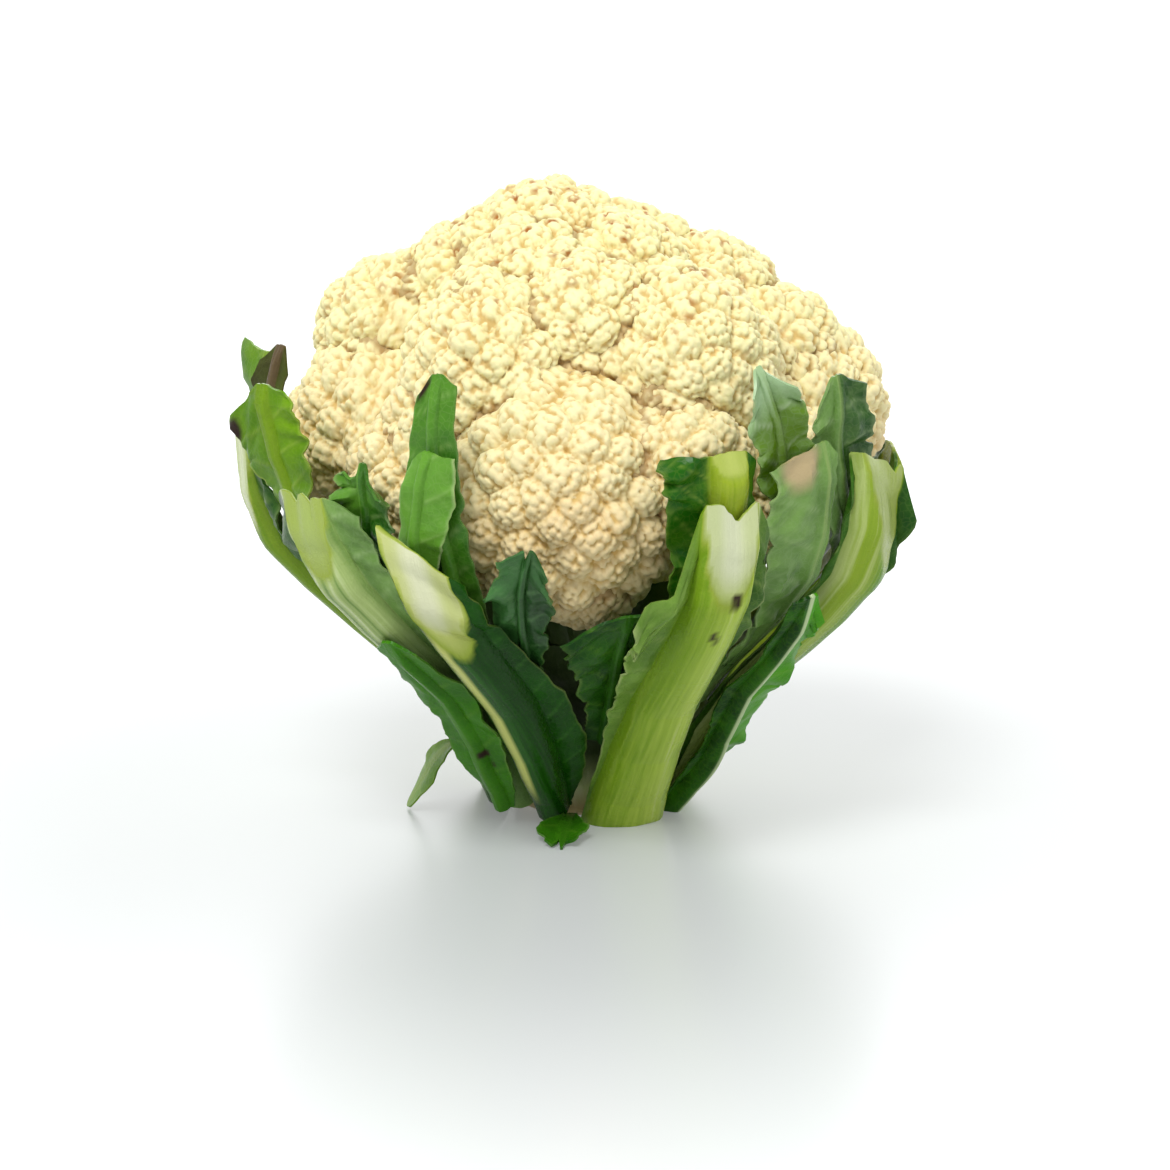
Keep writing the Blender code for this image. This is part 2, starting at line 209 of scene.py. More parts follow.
def keep_inside(points: np.ndarray, node: str) -> np.ndarray:
    """Draws a piece in, where its fine relief passes the box of the CAD node it stands for.

    Args:
        points: The piece's vertices, one row each.
        node: The CAD node.

    Returns:
        The vertices, each axis scaled only if it has to be.
    """
    low, high = (np.array(corner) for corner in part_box(node))
    least, most = points.min(axis=0), points.max(axis=0)
    new_least, new_most = np.maximum(low, least), np.minimum(high, most)
    return new_least + (points - least) * (new_most - new_least) / (most - least)


def settle(obj: bpy.types.Object, name: str, node: str, finish: bpy.types.Material,
           crisp: float = 50.0) -> None:
    """Names, smooths and dresses a piece, and ties it to the frame.

    Args:
        obj: The piece, with its place in its mesh.
        name: The piece's name.
        node: The CAD node that it stands for.
        finish: The piece's material.
        crisp: Edges that turn by more degrees than this stay sharp.
    """
    obj.name = obj.data.name = name
    obj.data.materials.clear()
    obj.data.materials.append(finish)
    select_only(obj)
    bpy.ops.object.shade_smooth_by_angle(angle=math.radians(crisp))
    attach(obj, BODY)
    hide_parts(node)
    LOG.info("%s: %d faces for %s", name, len(obj.data.polygons), node)


class Wiring:
    """A node tree, and the one way in which nodes are added to it."""

    def __init__(self, tree: bpy.types.NodeTree) -> None:
        """Takes the tree as it is."""
        self.tree = tree

    def add(self, kind: str, inputs: dict | None = None, **settings: object) -> bpy.types.Node:
        """Adds a node with its settings and links.

        Args:
            kind: The node's type.
            inputs: A value or another node's output for each input, by name or number.
            settings: The node's own properties.

        Returns:
            The new node.
        """
        node = self.tree.nodes.new(kind)
        for name, value in settings.items():
            setattr(node, name, value)
        self.feed(node, inputs or {})
        return node

    def feed(self, node: bpy.types.Node, inputs: dict) -> None:
        """Links outputs to a node's inputs, or sets their values."""
        for key, value in inputs.items():
            if isinstance(value, bpy.types.NodeSocket):
                self.tree.links.new(value, node.inputs[key])
            else:
                node.inputs[key].default_value = value


class Paint(Wiring):
    """One material's nodes, round its Principled shader."""

    def __init__(self, name: str) -> None:
        """Starts a material with an untouched Principled shader."""
        self.material = bpy.data.materials.new(name)
        self.material.use_nodes = True
        super().__init__(self.material.node_tree)
        self.shader = self.tree.nodes["Principled BSDF"]


@dataclass(frozen=True)
class CurdFinish:
    """Raw cauliflower curd: packed flower buds, matt, moist and slightly see-through.

    The buds scatter light, so the curd glows cream. Creases and seams between florets are painted
    tan as shade, the foot darker as painted shade and the crown paler as painted light.
    """

    name: str
    # crown, cream and foot are painted light and shade by height; crease and deep are painted
    # shade in the creases and between florets
    crown: str = "#F3EDB4"
    cream: str = "#F3E7B4"
    foot: str = "#EAD4A2"
    crease: str = "#D0AE66"
    deep: str = "#9A7240"
    speck: str = "#A8682A"
    specks: float = 0.55  # share of the cells that have one
    speck_scale: float = 180.0  # cells in a metre
    patch_scale: float = 45.0
    shade_to_light_heights: tuple = (0.095, 0.165)  # heights over which the foot's cream turns the crown's
    specks_from: tuple = (0.135, 0.172)  # heights over which specks set in
    roughness: float = 0.55
    ior: float = 1.4
    bud_width: float = 1.1

    def build(self) -> bpy.types.Material:
        """Mixes the creams by height and crease, and adds specks and fine buds.

        Returns:
            The material.
        """
        paint = Paint(self.name)
        place = paint.add("ShaderNodeTexCoord").outputs["Object"]
        height = paint.add("ShaderNodeSeparateXYZ", {0: place}).outputs["Z"]
        crease, seam_shade = (
            paint.add("ShaderNodeAttribute", attribute_name=name).outputs["Fac"]
            for name in ("crease", "seam_shade"))
        patches = paint.add("ShaderNodeTexNoise", {
            "Vector": place, "Scale": self.patch_scale, "Detail": 3.0}).outputs["Fac"]
        cells = paint.add("ShaderNodeTexVoronoi", {"Vector": place, "Scale": self.speck_scale})
        rise, shallow, dot, near_crown, in_crease = (
            paint.add("ShaderNodeMapRange", {
                "Value": value, "From Min": span[0], "From Max": span[1],
                "To Max": most}).outputs["Result"]
            for value, span, most in (
                (height, self.shade_to_light_heights, 1.0), (crease, (0.2, 0.7), 0.9),
                (cells.outputs["Distance"], (0.42, 0.16), 1.0),
                (height, self.specks_from, 1.0), (crease, (0.05, 0.3), 1.0)))

        patched = paint.add("ShaderNodeMath", {0: patches, 1: 0.9, 2: -0.45},
                            operation="MULTIPLY_ADD").outputs[0]
        level = paint.add("ShaderNodeMath", {0: rise, 1: patched}, operation="ADD",
                          use_clamp=True).outputs[0]
        lower, upper = (
            paint.add("ShaderNodeMapRange", {
                "Value": level, "From Min": least, "From Max": most}).outputs["Result"]
            for least, most in ((0.0, 0.45), (0.45, 1.0)))

        # Brown specks sit in creases near the crown, where buds were bruised
        chance = paint.add("ShaderNodeSeparateXYZ", {0: cells.outputs["Color"]}).outputs["X"]
        picked = paint.add("ShaderNodeMath", {0: chance, 1: self.specks},
                           operation="LESS_THAN").outputs[0]
        speck = dot
        for share in (picked, near_crown, in_crease):
            speck = paint.add("ShaderNodeMath", {0: speck, 1: share},
                              operation="MULTIPLY").outputs[0]

        # Painted light and shade: the cream darkens towards the foot and pales at the crown, and
        # creases and seams darken to tan; the specks are real
        colour = linear(self.foot)
        for share, over in ((lower, self.cream), (upper, self.crown), (shallow, self.crease),
                            (seam_shade, self.deep), (speck, self.speck)):
            colour = paint.add("ShaderNodeMix", {
                FACTOR: share, COLOUR_A: colour, COLOUR_B: linear(over)},
                data_type="RGBA").outputs[COLOUR_OUT]

        # Buds are under a millimetre wide: their cells are drawn as relief
        buds = paint.add("ShaderNodeTexVoronoi", {
            "Vector": place, "Scale": 1 / (self.bud_width * MM)}).outputs["Distance"]
        relief = paint.add("ShaderNodeBump", {
            "Height": buds, "Strength": 0.35, "Distance": 0.3 * MM},
            invert=True).outputs["Normal"]
        paint.feed(paint.shader, {
            "Base Color": colour, "Roughness": self.roughness, "IOR": self.ior,
            "Normal": relief, "Specular IOR Level": 0.3,
            "Subsurface Weight": 0.15, "Subsurface Scale": 0.0012,
            "Subsurface Radius": (1.0, 0.85, 0.55)})
        return paint.material


@dataclass(frozen=True)
class LeafFinish:
    """Fresh brassica leaf: waxy blade, fleshy midrib and wet knife cut.

    The wax gives soft, wide highlights, and a cut rib shines like wet paper.
    """

    name: str
    deep: str
    light: str
    vein: str
    rib: str
    streak: str
    margin: str
    cut: str = "#C3CA8C"
    rim: str = "#93A63A"
    # core: the cut's whitest middle, partly pale pith and partly a painted highlight
    core: str = "#DDE0C2"
    blemish: str = "#2B1A10"
    vein_share: float = 0.35
    gloss: float = 0.22
    roughness: float = 0.34
    uneven_gloss: float = 0.07
    cell: float = 2.0  # width of a cell in the net of fine veins, in millimetres
    bent: float = 1.6  # how far the net is bent, in millimetres

    def build(self) -> bpy.types.Material:
        """Lays blade, veins, rib, margin, cut and blemishes over one another.

        Returns:
            The material.
        """
        paint = Paint(self.name)
        place = paint.add("ShaderNodeTexCoord").outputs["Object"]
        reads = {
            name: paint.add("ShaderNodeAttribute", attribute_name=name)
            for name in ("lay", "tone", "vein", "rib", "band", "margin", "cut", "blemish")
        }
        mask = {name: node.outputs["Fac"] for name, node in reads.items()}

        # Blade: two greens in soft patches, netted with fine veins
        patches = paint.add("ShaderNodeTexNoise", {
            "Vector": place, "Scale": 70.0, "Detail": 5.0, "Roughness": 0.6}).outputs["Fac"]
        spread = paint.add("ShaderNodeMath", {0: patches, 1: 1.5, 2: -0.75},
                           operation="MULTIPLY_ADD").outputs[0]
        level = paint.add("ShaderNodeMath", {0: mask["tone"], 1: spread}, operation="ADD",
                          use_clamp=True).outputs[0]
        wobble = paint.add("ShaderNodeTexNoise", {
            "Vector": place, "Scale": 400.0, "Detail": 1.0}).outputs["Color"]
        bent = paint.add("ShaderNodeVectorMath", {
            0: wobble, 1: (self.bent * MM,) * 3, 2: place},
            operation="MULTIPLY_ADD").outputs["Vector"]
        net = paint.add("ShaderNodeTexVoronoi", {
            "Vector": bent, "Scale": 1 / (self.cell * MM)},
            feature="DISTANCE_TO_EDGE").outputs["Distance"]
        thread = paint.add("ShaderNodeMapRange", {
            "Value": net, "From Min": 0.12, "From Max": 0.0, "To Max": 0.07}).outputs["Result"]
        drawn_vein = paint.add("ShaderNodeMath", {0: mask["vein"], 1: self.vein_share},
                               operation="MULTIPLY").outputs[0]
        veined = paint.add("ShaderNodeMath", {0: drawn_vein, 1: thread}, operation="MAXIMUM",
                           use_clamp=True).outputs[0]

        # Midrib: fibres run its whole length, under a millimetre apart
        drawn = paint.add("ShaderNodeVectorMath", {
            0: reads["lay"].outputs["Vector"], 1: (9.0, 0.28, 1.0)},
            operation="MULTIPLY").outputs["Vector"]
        fibres = paint.add("ShaderNodeTexNoise", {
            "Vector": drawn, "Scale": 1.0, "Detail": 3.0, "Roughness": 0.55}).outputs["Fac"]
        fibre = paint.add("ShaderNodeMapRange", {
            "Value": fibres, "From Min": 0.32, "From Max": 0.68}).outputs["Result"]
        shade = paint.add("ShaderNodeMath", {0: fibre, 1: 0.6, 2: -0.3},
                          operation="MULTIPLY_ADD").outputs[0]
        # The band adds the rib's stripes and its painted highlight and shade; above 1 it turns
        # pale as a painted highlight
        shade = paint.add("ShaderNodeMath", {0: shade, 1: mask["band"]},
                          operation="ADD").outputs[0]

        # Knife cut: a bright rim of skin round pale wet flesh, whose whitest middle is partly pith
        # and partly a painted highlight
        pale, skin, inside, middle = (
            paint.add("ShaderNodeMapRange", {
                "Value": value, "From Min": least, "From Max": most}).outputs["Result"]
            for value, least, most in (
                (shade, 1.0, 1.6), (mask["cut"], 0.02, 0.25), (mask["cut"], 0.25, 0.75),
                (mask["cut"], 0.7, 1.0)))

        flesh = linear(self.rib)
        for share, over in ((shade, self.streak), (pale, self.margin)):
            flesh = paint.add("ShaderNodeMix", {
                FACTOR: share, COLOUR_A: flesh, COLOUR_B: linear(over)},
                data_type="RGBA").outputs[COLOUR_OUT]
        colour = linear(self.deep)
        for share, over in (
                (level, linear(self.light)), (veined, linear(self.vein)),
                (mask["rib"], flesh), (mask["margin"], linear(self.margin)),
                (skin, linear(self.rim)), (inside, linear(self.cut)),
                (middle, linear(self.core)), (mask["blemish"], linear(self.blemish))):
            colour = paint.add("ShaderNodeMix", {
                FACTOR: share, COLOUR_A: colour, COLOUR_B: over},
                data_type="RGBA").outputs[COLOUR_OUT]

        # Gloss: the wax is satin, the rib smoother, and the cut wet
        satin = paint.add("ShaderNodeMapRange", {
            "Value": patches, "From Min": 0.3, "From Max": 0.7,
            "To Min": self.roughness - self.uneven_gloss,
            "To Max": self.roughness + self.uneven_gloss}).outputs["Result"]
        grain = paint.add("ShaderNodeMath", {0: fibre, 1: mask["rib"]},
                          operation="MULTIPLY").outputs[0]
        smoother = paint.add("ShaderNodeMath", {0: mask["rib"], 1: -0.08, 2: satin},
                             operation="MULTIPLY_ADD").outputs[0]
        wet, relief = (
            paint.add("ShaderNodeMath", {0: value, 1: times, 2: base},
                      operation="MULTIPLY_ADD").outputs[0]
            for value, times, base in ((inside, -0.12, smoother), (thread, 5.0, grain)))
        normal = paint.add("ShaderNodeBump", {
            "Height": relief, "Strength": 0.3, "Distance": 0.35 * MM}).outputs["Normal"]
        paint.feed(paint.shader, {
            "Base Color": colour, "Roughness": wet, "IOR": 1.42, "Normal": normal,
            "Specular IOR Level": self.gloss})
        return paint.material


@dataclass(frozen=True)
class StalkFinish:
    """Cut cauliflower stalk: pale, juicy and fibrous, with a woody ring near its skin.

    Its foot has dried tan, and higher up it is painted dark green as the shade of the leaves.
    """

    name: str
    flesh: str = "#D9DFAE"
    skin: str = "#A9BE6A"
    ring: str = "#B7A56C"
    tan: str = "#A58B57"
    # painted shade: the dark green that covers the stalk's upper part and the branches
    dark: str = "#1C3A0C"
    tan_from: tuple = (0.009, 0.003)  # heights over which the tan sets in, going down
    painted_shade_from: tuple = (0.009, 0.02)  # heights over which the dark green sets in
    ring_inside: tuple = (0.0125, 0.015)  # radii over which the ring sets in
    ring_outside: tuple = (0.0185, 0.016)
    ring_height: float = 0.002
    fibre_scale: tuple = (420.0, 420.0, 35.0)

    def build(self) -> bpy.types.Material:
        """Runs fibres up the stalk and a darker ring round its cut foot.

        Returns:
            The material.
        """
        paint = Paint(self.name)
        place = paint.add("ShaderNodeTexCoord").outputs["Object"]
        axes = paint.add("ShaderNodeSeparateXYZ", {0: place}).outputs
        flat = paint.add("ShaderNodeCombineXYZ", {0: axes["X"], 1: axes["Y"]}).outputs[0]
        radius = paint.add("ShaderNodeVectorMath", {0: flat}, operation="LENGTH").outputs["Value"]
        drawn = paint.add("ShaderNodeVectorMath", {0: place, 1: self.fibre_scale},
                          operation="MULTIPLY").outputs["Vector"]
        fibres = paint.add("ShaderNodeTexNoise", {
            "Vector": drawn, "Scale": 1.0, "Detail": 3.0}).outputs["Fac"]
        fibre, low, high, inner, outer, foot = (
            paint.add("ShaderNodeMapRange", {
                "Value": value, "From Min": span[0], "From Max": span[1],
                "To Max": most}).outputs["Result"]
            for value, span, most in (
                (fibres, (0.3, 0.7), 1.0), (axes["Z"], self.tan_from, 0.8),
                (axes["Z"], self.painted_shade_from, 0.9), (radius, self.ring_inside, 1.0),
                (radius, self.ring_outside, 1.0), (axes["Z"], (self.ring_height, 0.0), 1.0)))
        ring = inner
        for share in (outer, foot):
            ring = paint.add("ShaderNodeMath", {0: ring, 1: share},
                             operation="MULTIPLY").outputs[0]
        # fibre, tan and ring are the stalk's own colours; high paints the dark green shade of the
        # leaves
        colour = linear(self.skin)
        for share, over in ((fibre, self.flesh), (low, self.tan), (high, self.dark),
                            (ring, self.ring)):
            colour = paint.add("ShaderNodeMix", {
                FACTOR: share, COLOUR_A: colour, COLOUR_B: linear(over)},
                data_type="RGBA").outputs[COLOUR_OUT]
        normal = paint.add("ShaderNodeBump", {
            "Height": fibre, "Strength": 0.3, "Distance": 0.4 * MM}).outputs["Normal"]
        paint.feed(paint.shader, {
            "Base Color": colour, "Roughness": 0.4, "IOR": 1.4, "Normal": normal,
            "Coat Weight": 0.1, "Coat Roughness": 0.3})
        return paint.material


class Kind(Enum):
    """The leaves' finishes, each a frozen recipe."""

    PALE_RIB = LeafFinish("leaf_pale_rib", "#234F08", "#74993A", "#A9BE6A", "#74981A",
                          "#ACC44C", "#CBD596", cut="#B4C080", core="#D2D8B4")
    BROAD_RIB = LeafFinish("leaf_broad_rib", "#17480A", "#4E7F20", "#9DB860", "#5C8C02",
                           "#8EA830", "#C0CE86", cut="#AFBE74", core="#CBD4A4")
    DARK_WAX = LeafFinish("leaf_dark_wax", "#0A3600", "#1A5A02", "#4C8430", "#123F06",
                          "#2A6416", "#C6CC70", cut="#B8C26C", core="#DCDEC0",
                          roughness=0.3)
    BRIGHT = LeafFinish("leaf_bright", "#0C3A02", "#4A9C04", "#80AC30", "#A9BF84",
                        "#CBDBB0", "#58981C")
    GREEN = LeafFinish("leaf_green", "#12420A", "#3C7E0A", "#6E9C2C", "#3A7A10",
                       "#5C9024", "#B4CA70")
    GREY_WAX = LeafFinish("leaf_grey_wax", "#1C4A10", "#749A4C", "#B4CA94", "#557E2E",
                          "#A9BE74", "#CBD8A6", cut="#AFC184", core="#C6D2A4",
                          blemish="#B3A078", gloss=0.35)
    SATIN = LeafFinish("leaf_satin", "#1C5606", "#629A2C", "#A9C878", "#4C8818",
                       "#6C9C38", "#C6D69C", gloss=0.35)
    YOUNG = LeafFinish("leaf_young", "#1C5A04", "#6A960A", "#A9BE54", "#7F9A12",
                       "#A2B238", "#B9C664", cut="#B9C46A", core="#D2D89C")
    CURLED = LeafFinish("leaf_curled", "#567C04", "#9CBC8A", "#C8D6BA", "#7F9A1A",
                        "#C3D2B2", "#BFCEA4", blemish="#B5A380", gloss=0.6)
    PURPLE = LeafFinish("leaf_purple", "#2A1E16", "#55661C", "#6C6A3A", "#4A3A28",
                        "#6F6044", "#5C4C34")
    SHADED = LeafFinish("leaf_shaded", "#083404", "#3E7436", "#6C9A5C", "#286018",
                        "#4C7C36", "#86A650", gloss=0.5)


@dataclass(frozen=True)
class Leaf:
    """One leaf's form, as in the CAD source, from its root on the stalk to its trimmed top."""

    name: str
    path: tuple  # azimuth in degrees, height, and how far it stands off the wall, root to top
    rib: tuple  # width of the midrib at the root, in the middle and at the top
    stout: tuple  # thickness of the midrib at the root and at the top
    left: tuple  # width of the blade on the left of the rib, at even steps from root to top
    right: tuple  # the same on the right
    top: tuple = (0, 0, 0)  # how far the left edge, the rib and the right edge pass the top
    cut: float = 0.85  # share of the length where the knife enters the rib
    cup: tuple = (0, 0)  # how far the left and the right edge bend outwards
    wave: tuple = (1.0, 2.0, 0.0)  # height, count and phase of the waves in the edges
    twist: float = 0  # degrees by which the top turns its right edge outwards
    small: bool = False
    slant: float = 0  # how much lower the knife leaves the rib on its right than on its left


@dataclass(frozen=True)
class Dress:
    """How one leaf is finished beyond its form."""

    kind: Kind
    # tone: partly the leaf's own lightness, partly painted light and shade where one side of a
    # blade is lit or shaded
    tone: tuple = (0.4, 0.4)  # lightness of the blade left and right of the rib
    tilt: float = 0.0  # how far the knife enters earlier on the right than on the left
    notches: tuple = ()  # dents in the top: place across, half width and depth
    ruffle: float = 1.0  # height of the ruffles in the margins
    teeth: float = 0.4  # height of the fine teeth
    lobes: float = 1.0  # depth of the bays in the margins
    crumple: float = 1.0  # height of the folds in the blade
    edge: float = 0.2  # how clearly the margin is drawn in its own colour
    # bands: the rib's own stripes, plus painted highlight lines and painted shade on its rounded
    # flanks
    bands: tuple = (0.4, 0.5, 0.5, 0.5, 0.6)  # lightness across the rib, left to right
    rise: float = 0.0  # how much lighter the blade is at its top than at its root
    rim: float = 0.0  # how clearly the rib's left edge is drawn pale
    rib: float = 1.0  # how much of the rib's own colour shows
    fade: float = 0.0  # below this share of the length the rib is as dark as the blade
    line: float = 1.0  # share of the rib's width that has it
    sliced: float = 1.0  # how bare the knife left the rib's top
    cut: float = 0.0  # where the knife enters, if not where the CAD leaf says
    blemishes: tuple = ()  # spots: place across, share of the length and radius


LEAVES = (
    # the outer ring in front, from the right to the left
    Leaf("leaf_front_right", ((26, 0, 0.8), (24.5, 30, 7.2), (23.5, 62, 8.2), (23.5, 107, 9)),
         (24, 20, 16), (9, 7), (0, 3, 10, 20), (0, 2, 6, 5), (-33, 1, -10), 0.80,
         (1.5, 0), (1.0, 2.5, 0.5)),
    Leaf("leaf_right_low", ((61.4, 1, 0.8), (55.8, 20, 12.0), (48.6, 44, 13.3), (42.8, 78, 13.6)),
         (4, 5, 4), (6, 3), (0, 3, 4, 3), (0, 13, 15, 6), (-2, 0, -12), 0.9,
         (0, 3.0), (1.0, 3, 0)),
    Leaf("leaf_right_rib", ((86, 1, 0.8), (75, 26, 3), (61, 60, 6), (54, 117, 10)),
         (12, 21, 21), (4, 8), (0, 2, 3, 2), (0, 3, 5, 3), (-10, 3, -26), 0.74,
         (0, 0), (0.8, 2, 1), 8, slant=11),
    Leaf("leaf_front_left", ((-19.5, 5.5, 0.8), (-20, 26, 8), (-23, 56, 9.5), (-29, 101, 11)),
         (9, 15, 18), (7, 7.5), (0, 0.5, 1, 1), (0, 8, 6, 2), (-2, 2, -20), 0.66,
         (0, -2.5), (0.6, 1.5, 0), slant=18),
    Leaf("leaf_left_rib", ((-46.5, 5, 0.8), (-45.5, 26, 5.2), (-45, 66, 7.0), (-53, 108, 9)),
         (10, 15, 16), (4, 7), (0, 1, 6, 12), (0, 4, 8, 10), (-4, 0, -14), 0.80,
         (-3.5, 0.0), (0.8, 2.5, 2), -8, slant=6),
    Leaf("leaf_left_low", ((-40, 6, 11), (-38, 22, 15.5), (-37, 42, 17), (-40, 64, 18.5)),
         (5, 5, 4), (3, 2), (2, 7, 9, 6), (1, 6, 7, 5), (-3, 0, -6), 0.9,
         (1, 0), (0.8, 2, 0), 0, True),
    Leaf("leaf_far_left", ((-80, 1, 0.8), (-83, 26, 3), (-87, 60, 4.5), (-82, 112, 9.5)),
         (11, 13, 9), (4, 5), (0, 2, 5, 3), (0, 3, 14, 16), (-6, 2, -12), 0.82,
         (0, 1), (1.0, 2, 0), -14),
    # the outer ring behind
    Leaf("leaf_back_1", ((119, 1, 0.8), (116, 26, 6.5), (114, 60, 7.5), (112, 98, 9)),
         (14, 18, 15), (6, 7), (0, 3, 12, 9), (0, 4, 13, 9), (-8, 1, -12), 0.80,
         (1.5, 0.5), (1.0, 2.5, 1)),
    Leaf("leaf_back_2", ((160, 1, 0.8), (160, 26, 7), (161, 62, 8), (163, 104, 10)),
         (16, 18, 15), (8, 7), (0, 3, 12, 8), (0, 3, 12, 8), (-10, 2, -6), 0.76,
         (0.5, 0.5), (1.0, 2, 2)),
    Leaf("leaf_back_3", ((203, 1, 0.8), (203, 26, 7), (205, 62, 8), (211, 108, 10)),
         (15, 18, 16), (8, 7), (0, 3, 12, 9), (0, 3, 12, 9), (-5, 2, -13), 0.80,
         (0.5, 0.5), (1.0, 2.5, 0)),
    Leaf("leaf_back_4", ((244, 1, 0.8), (243, 26, 7), (242, 62, 8), (245, 103, 10)),
         (14, 17, 14), (8, 7), (0, 3, 11, 8), (0, 3, 10, 8), (-6, 1, -9), 0.78,
         (0.5, 0.5), (1.0, 2, 1)),
    # the inner ring in front, which shows above and between the outer ribs
    Leaf("leaf_inner_right", ((34, 24, 0.8), (30, 56, 0.9), (25.5, 92, 1.2), (24, 121, 5)),
         (9, 10, 10), (2.5, 4.5), (2, 8, 13, 14), (2, 4, 6, 3), (13, 0, -4), 0.9,
         (1.5, 0), (1.0, 2.5, 1)),
    Leaf("leaf_mid_right", ((50, 38, 0.9), (47, 62, 2.2), (43.5, 92, 5.5), (41, 122, 9)),
         (5, 4, 3), (0.6, 1.2), (1.5, 6, 16, 17), (1, 2, 2, 3), (-4, 0, -4), 0.9,
         (1.0, 0), (0.8, 2, 0), 5),
    Leaf("leaf_right_top", ((64, 68, 0.8), (56, 92, 1.2), (48, 116, 3.5), (45, 140, 14)),
         (5, 4, 3), (0.6, 1.5), (2, 5, 8, 6), (2, 6, 10, 7), (-6, 0, -5), 0.9,
         (1, 1), (0.8, 2, 1), 18, True),
    Leaf("leaf_right_curl", ((41, 90, 0.8), (37, 107, 0.9), (34, 124, 4), (28, 144, 15)),
         (4, 3, 2.5), (0.6, 1.2), (2, 5, 8, 5), (2, 5, 8, 6), (-6, 0, -3), 0.9,
         (1, 4), (0.5, 1.5, 0), 0, True),
    Leaf("leaf_middle", ((8, 28, 0.8), (8.5, 44, 0.8), (8, 60, 0.9), (9, 74, 1.5)),
         (5, 4, 3), (2, 1.5), (3, 7, 13, 17), (3, 5, 7, 6), (-10, 0, 4), 0.9,
         (3, 1), (0.7, 2, 1), 0, True),
    Leaf("leaf_middle_curl", ((-17, 50, 0.8), (-14, 64, 1.9), (-12, 80, 3), (-9, 96, 7)),
         (4, 3, 2.5), (1.5, 1.2), (2, 5, 8, 7), (2, 5, 8, 7), (-5, 0, -3), 0.9,
         (2, 3), (0.8, 1.5, 2), 0, True),
    Leaf("leaf_left_top", ((-64, 50, 0.8), (-65, 78, 0.9), (-67, 106, 3), (-67, 133, 13)),
         (6, 5, 4), (0.6, 2), (2, 5, 9, 13), (2, 7, 11, 9), (-12, 0, -2), 0.9,
         (0, 0), (1.0, 2, 0), -28),
    Leaf("leaf_inner_left", ((-26, 60, 0.8), (-25, 84, 0.9), (-26, 110, 2), (-26, 142, 8)),
         (5, 4, 3), (2.5, 1.5), (2, 5, 6, 4), (2, 5, 6, 4), (-6, 0, -3), 0.9,
         (1, 0), (0.6, 2, 0), 0, True),
    Leaf("leaf_inner_left_low", ((-31, 78, 3.9), (-30, 92, 5.0), (-28, 106, 6), (-25, 122, 10)),
         (4, 3, 2.5), (2, 1.2), (1, 3, 4, 3), (2, 6, 9, 7), (-4, 0, 1), 0.9,
         (0, 0), (0.5, 2, 0), 0, True),
    Leaf("leaf_left_curl", ((-46, 60, 0.8), (-44, 80, 0.9), (-42, 98, 2), (-40, 116, 6)),
         (4, 3, 2.5), (1.5, 1.2), (2, 6, 9, 8), (2, 6, 9, 8), (-5, 0, -3), 0.9,
         (1, 1.5), (0.8, 1.5, 1), 0, True),
    Leaf("leaf_far_left_dark", ((-84, 80, 0.8), (-85, 100, 0.9), (-87, 120, 2), (-88, 139, 5)),
         (5, 4, 3), (0.6, 1.5), (2, 4, 6, 4), (2, 4, 5, 4), (-6, 0, -8), 0.9,
         (1, 1), (0.6, 1.5, 0), -45, True),
    # the inner ring behind
    Leaf("leaf_inner_back_1", ((104, 30, 0.8), (102, 60, 0.9), (100, 84, 1), (98, 106, 2)),
         (9, 9, 8), (3, 5), (2, 6, 14, 12), (2, 8, 14, 12), (-4, 1, -5), 0.9,
         (0, 1), (0.9, 2, 1)),
    Leaf("leaf_inner_back_2", ((138, 30, 0.8), (137, 70, 0.9), (135, 104, 2), (135, 128, 6)),
         (9, 8, 6), (3, 4), (2, 7, 13, 11), (2, 7, 13, 11), (-6, 1, -3), 0.9,
         (0, 1), (0.9, 2, 2), 0, True),
    Leaf("leaf_inner_back_3", ((180, 30, 0.8), (181, 70, 0.9), (184, 104, 2), (186, 124, 5)),
         (9, 8, 6), (3, 4), (2, 7, 13, 11), (2, 7, 13, 11), (-4, 1, -6), 0.9,
         (0, 1), (0.9, 2, 0), 0, True),
    Leaf("leaf_inner_back_4", ((222, 30, 0.8), (223, 70, 0.9), (226, 108, 3), (230, 140, 12)),
         (9, 8, 6), (3, 4), (2, 7, 12, 10), (2, 7, 12, 10), (-5, 1, -4), 0.9,
         (0, 1), (0.9, 2, 1), 0, True),
    Leaf("leaf_inner_back_5", ((258, 50, 0.8), (259, 80, 0.9), (259, 108, 4), (258, 134, 12)),
         (6, 5, 4), (0.6, 2), (2, 4, 8, 12), (2, 4, 7, 7), (2, 0, -5), 0.9,
         (0, 0), (0.9, 2, 2), -50, True),
    # two small leaves at the foot, which droop to the surface
    Leaf("leaf_foot_front", ((-8, 2.2, 0.8), (-8, 3.6, 10), (-8, 3.0, 22), (-7, 1.0, 33)),
         (2, 3, 2), (0.8, 0.6), (0.5, 0.8, 6, 4), (0.5, 0.8, 6, 4), (-3, 0, -3), 0.9,
         (-1, -1), (0.4, 1.5, 0), 0, True),
    Leaf("leaf_foot_left", ((-64, 18, 0.8), (-64, 23, 9), (-69, 16, 20), (-78, 1.0, 31)),
         (2, 3, 2), (0.8, 0.6), (0.5, 1, 5, 3), (0.5, 1, 5, 3), (-3, 0, -3), 0.9,
         (0, 0), (0.4, 1.5, 0), 0, True),
)

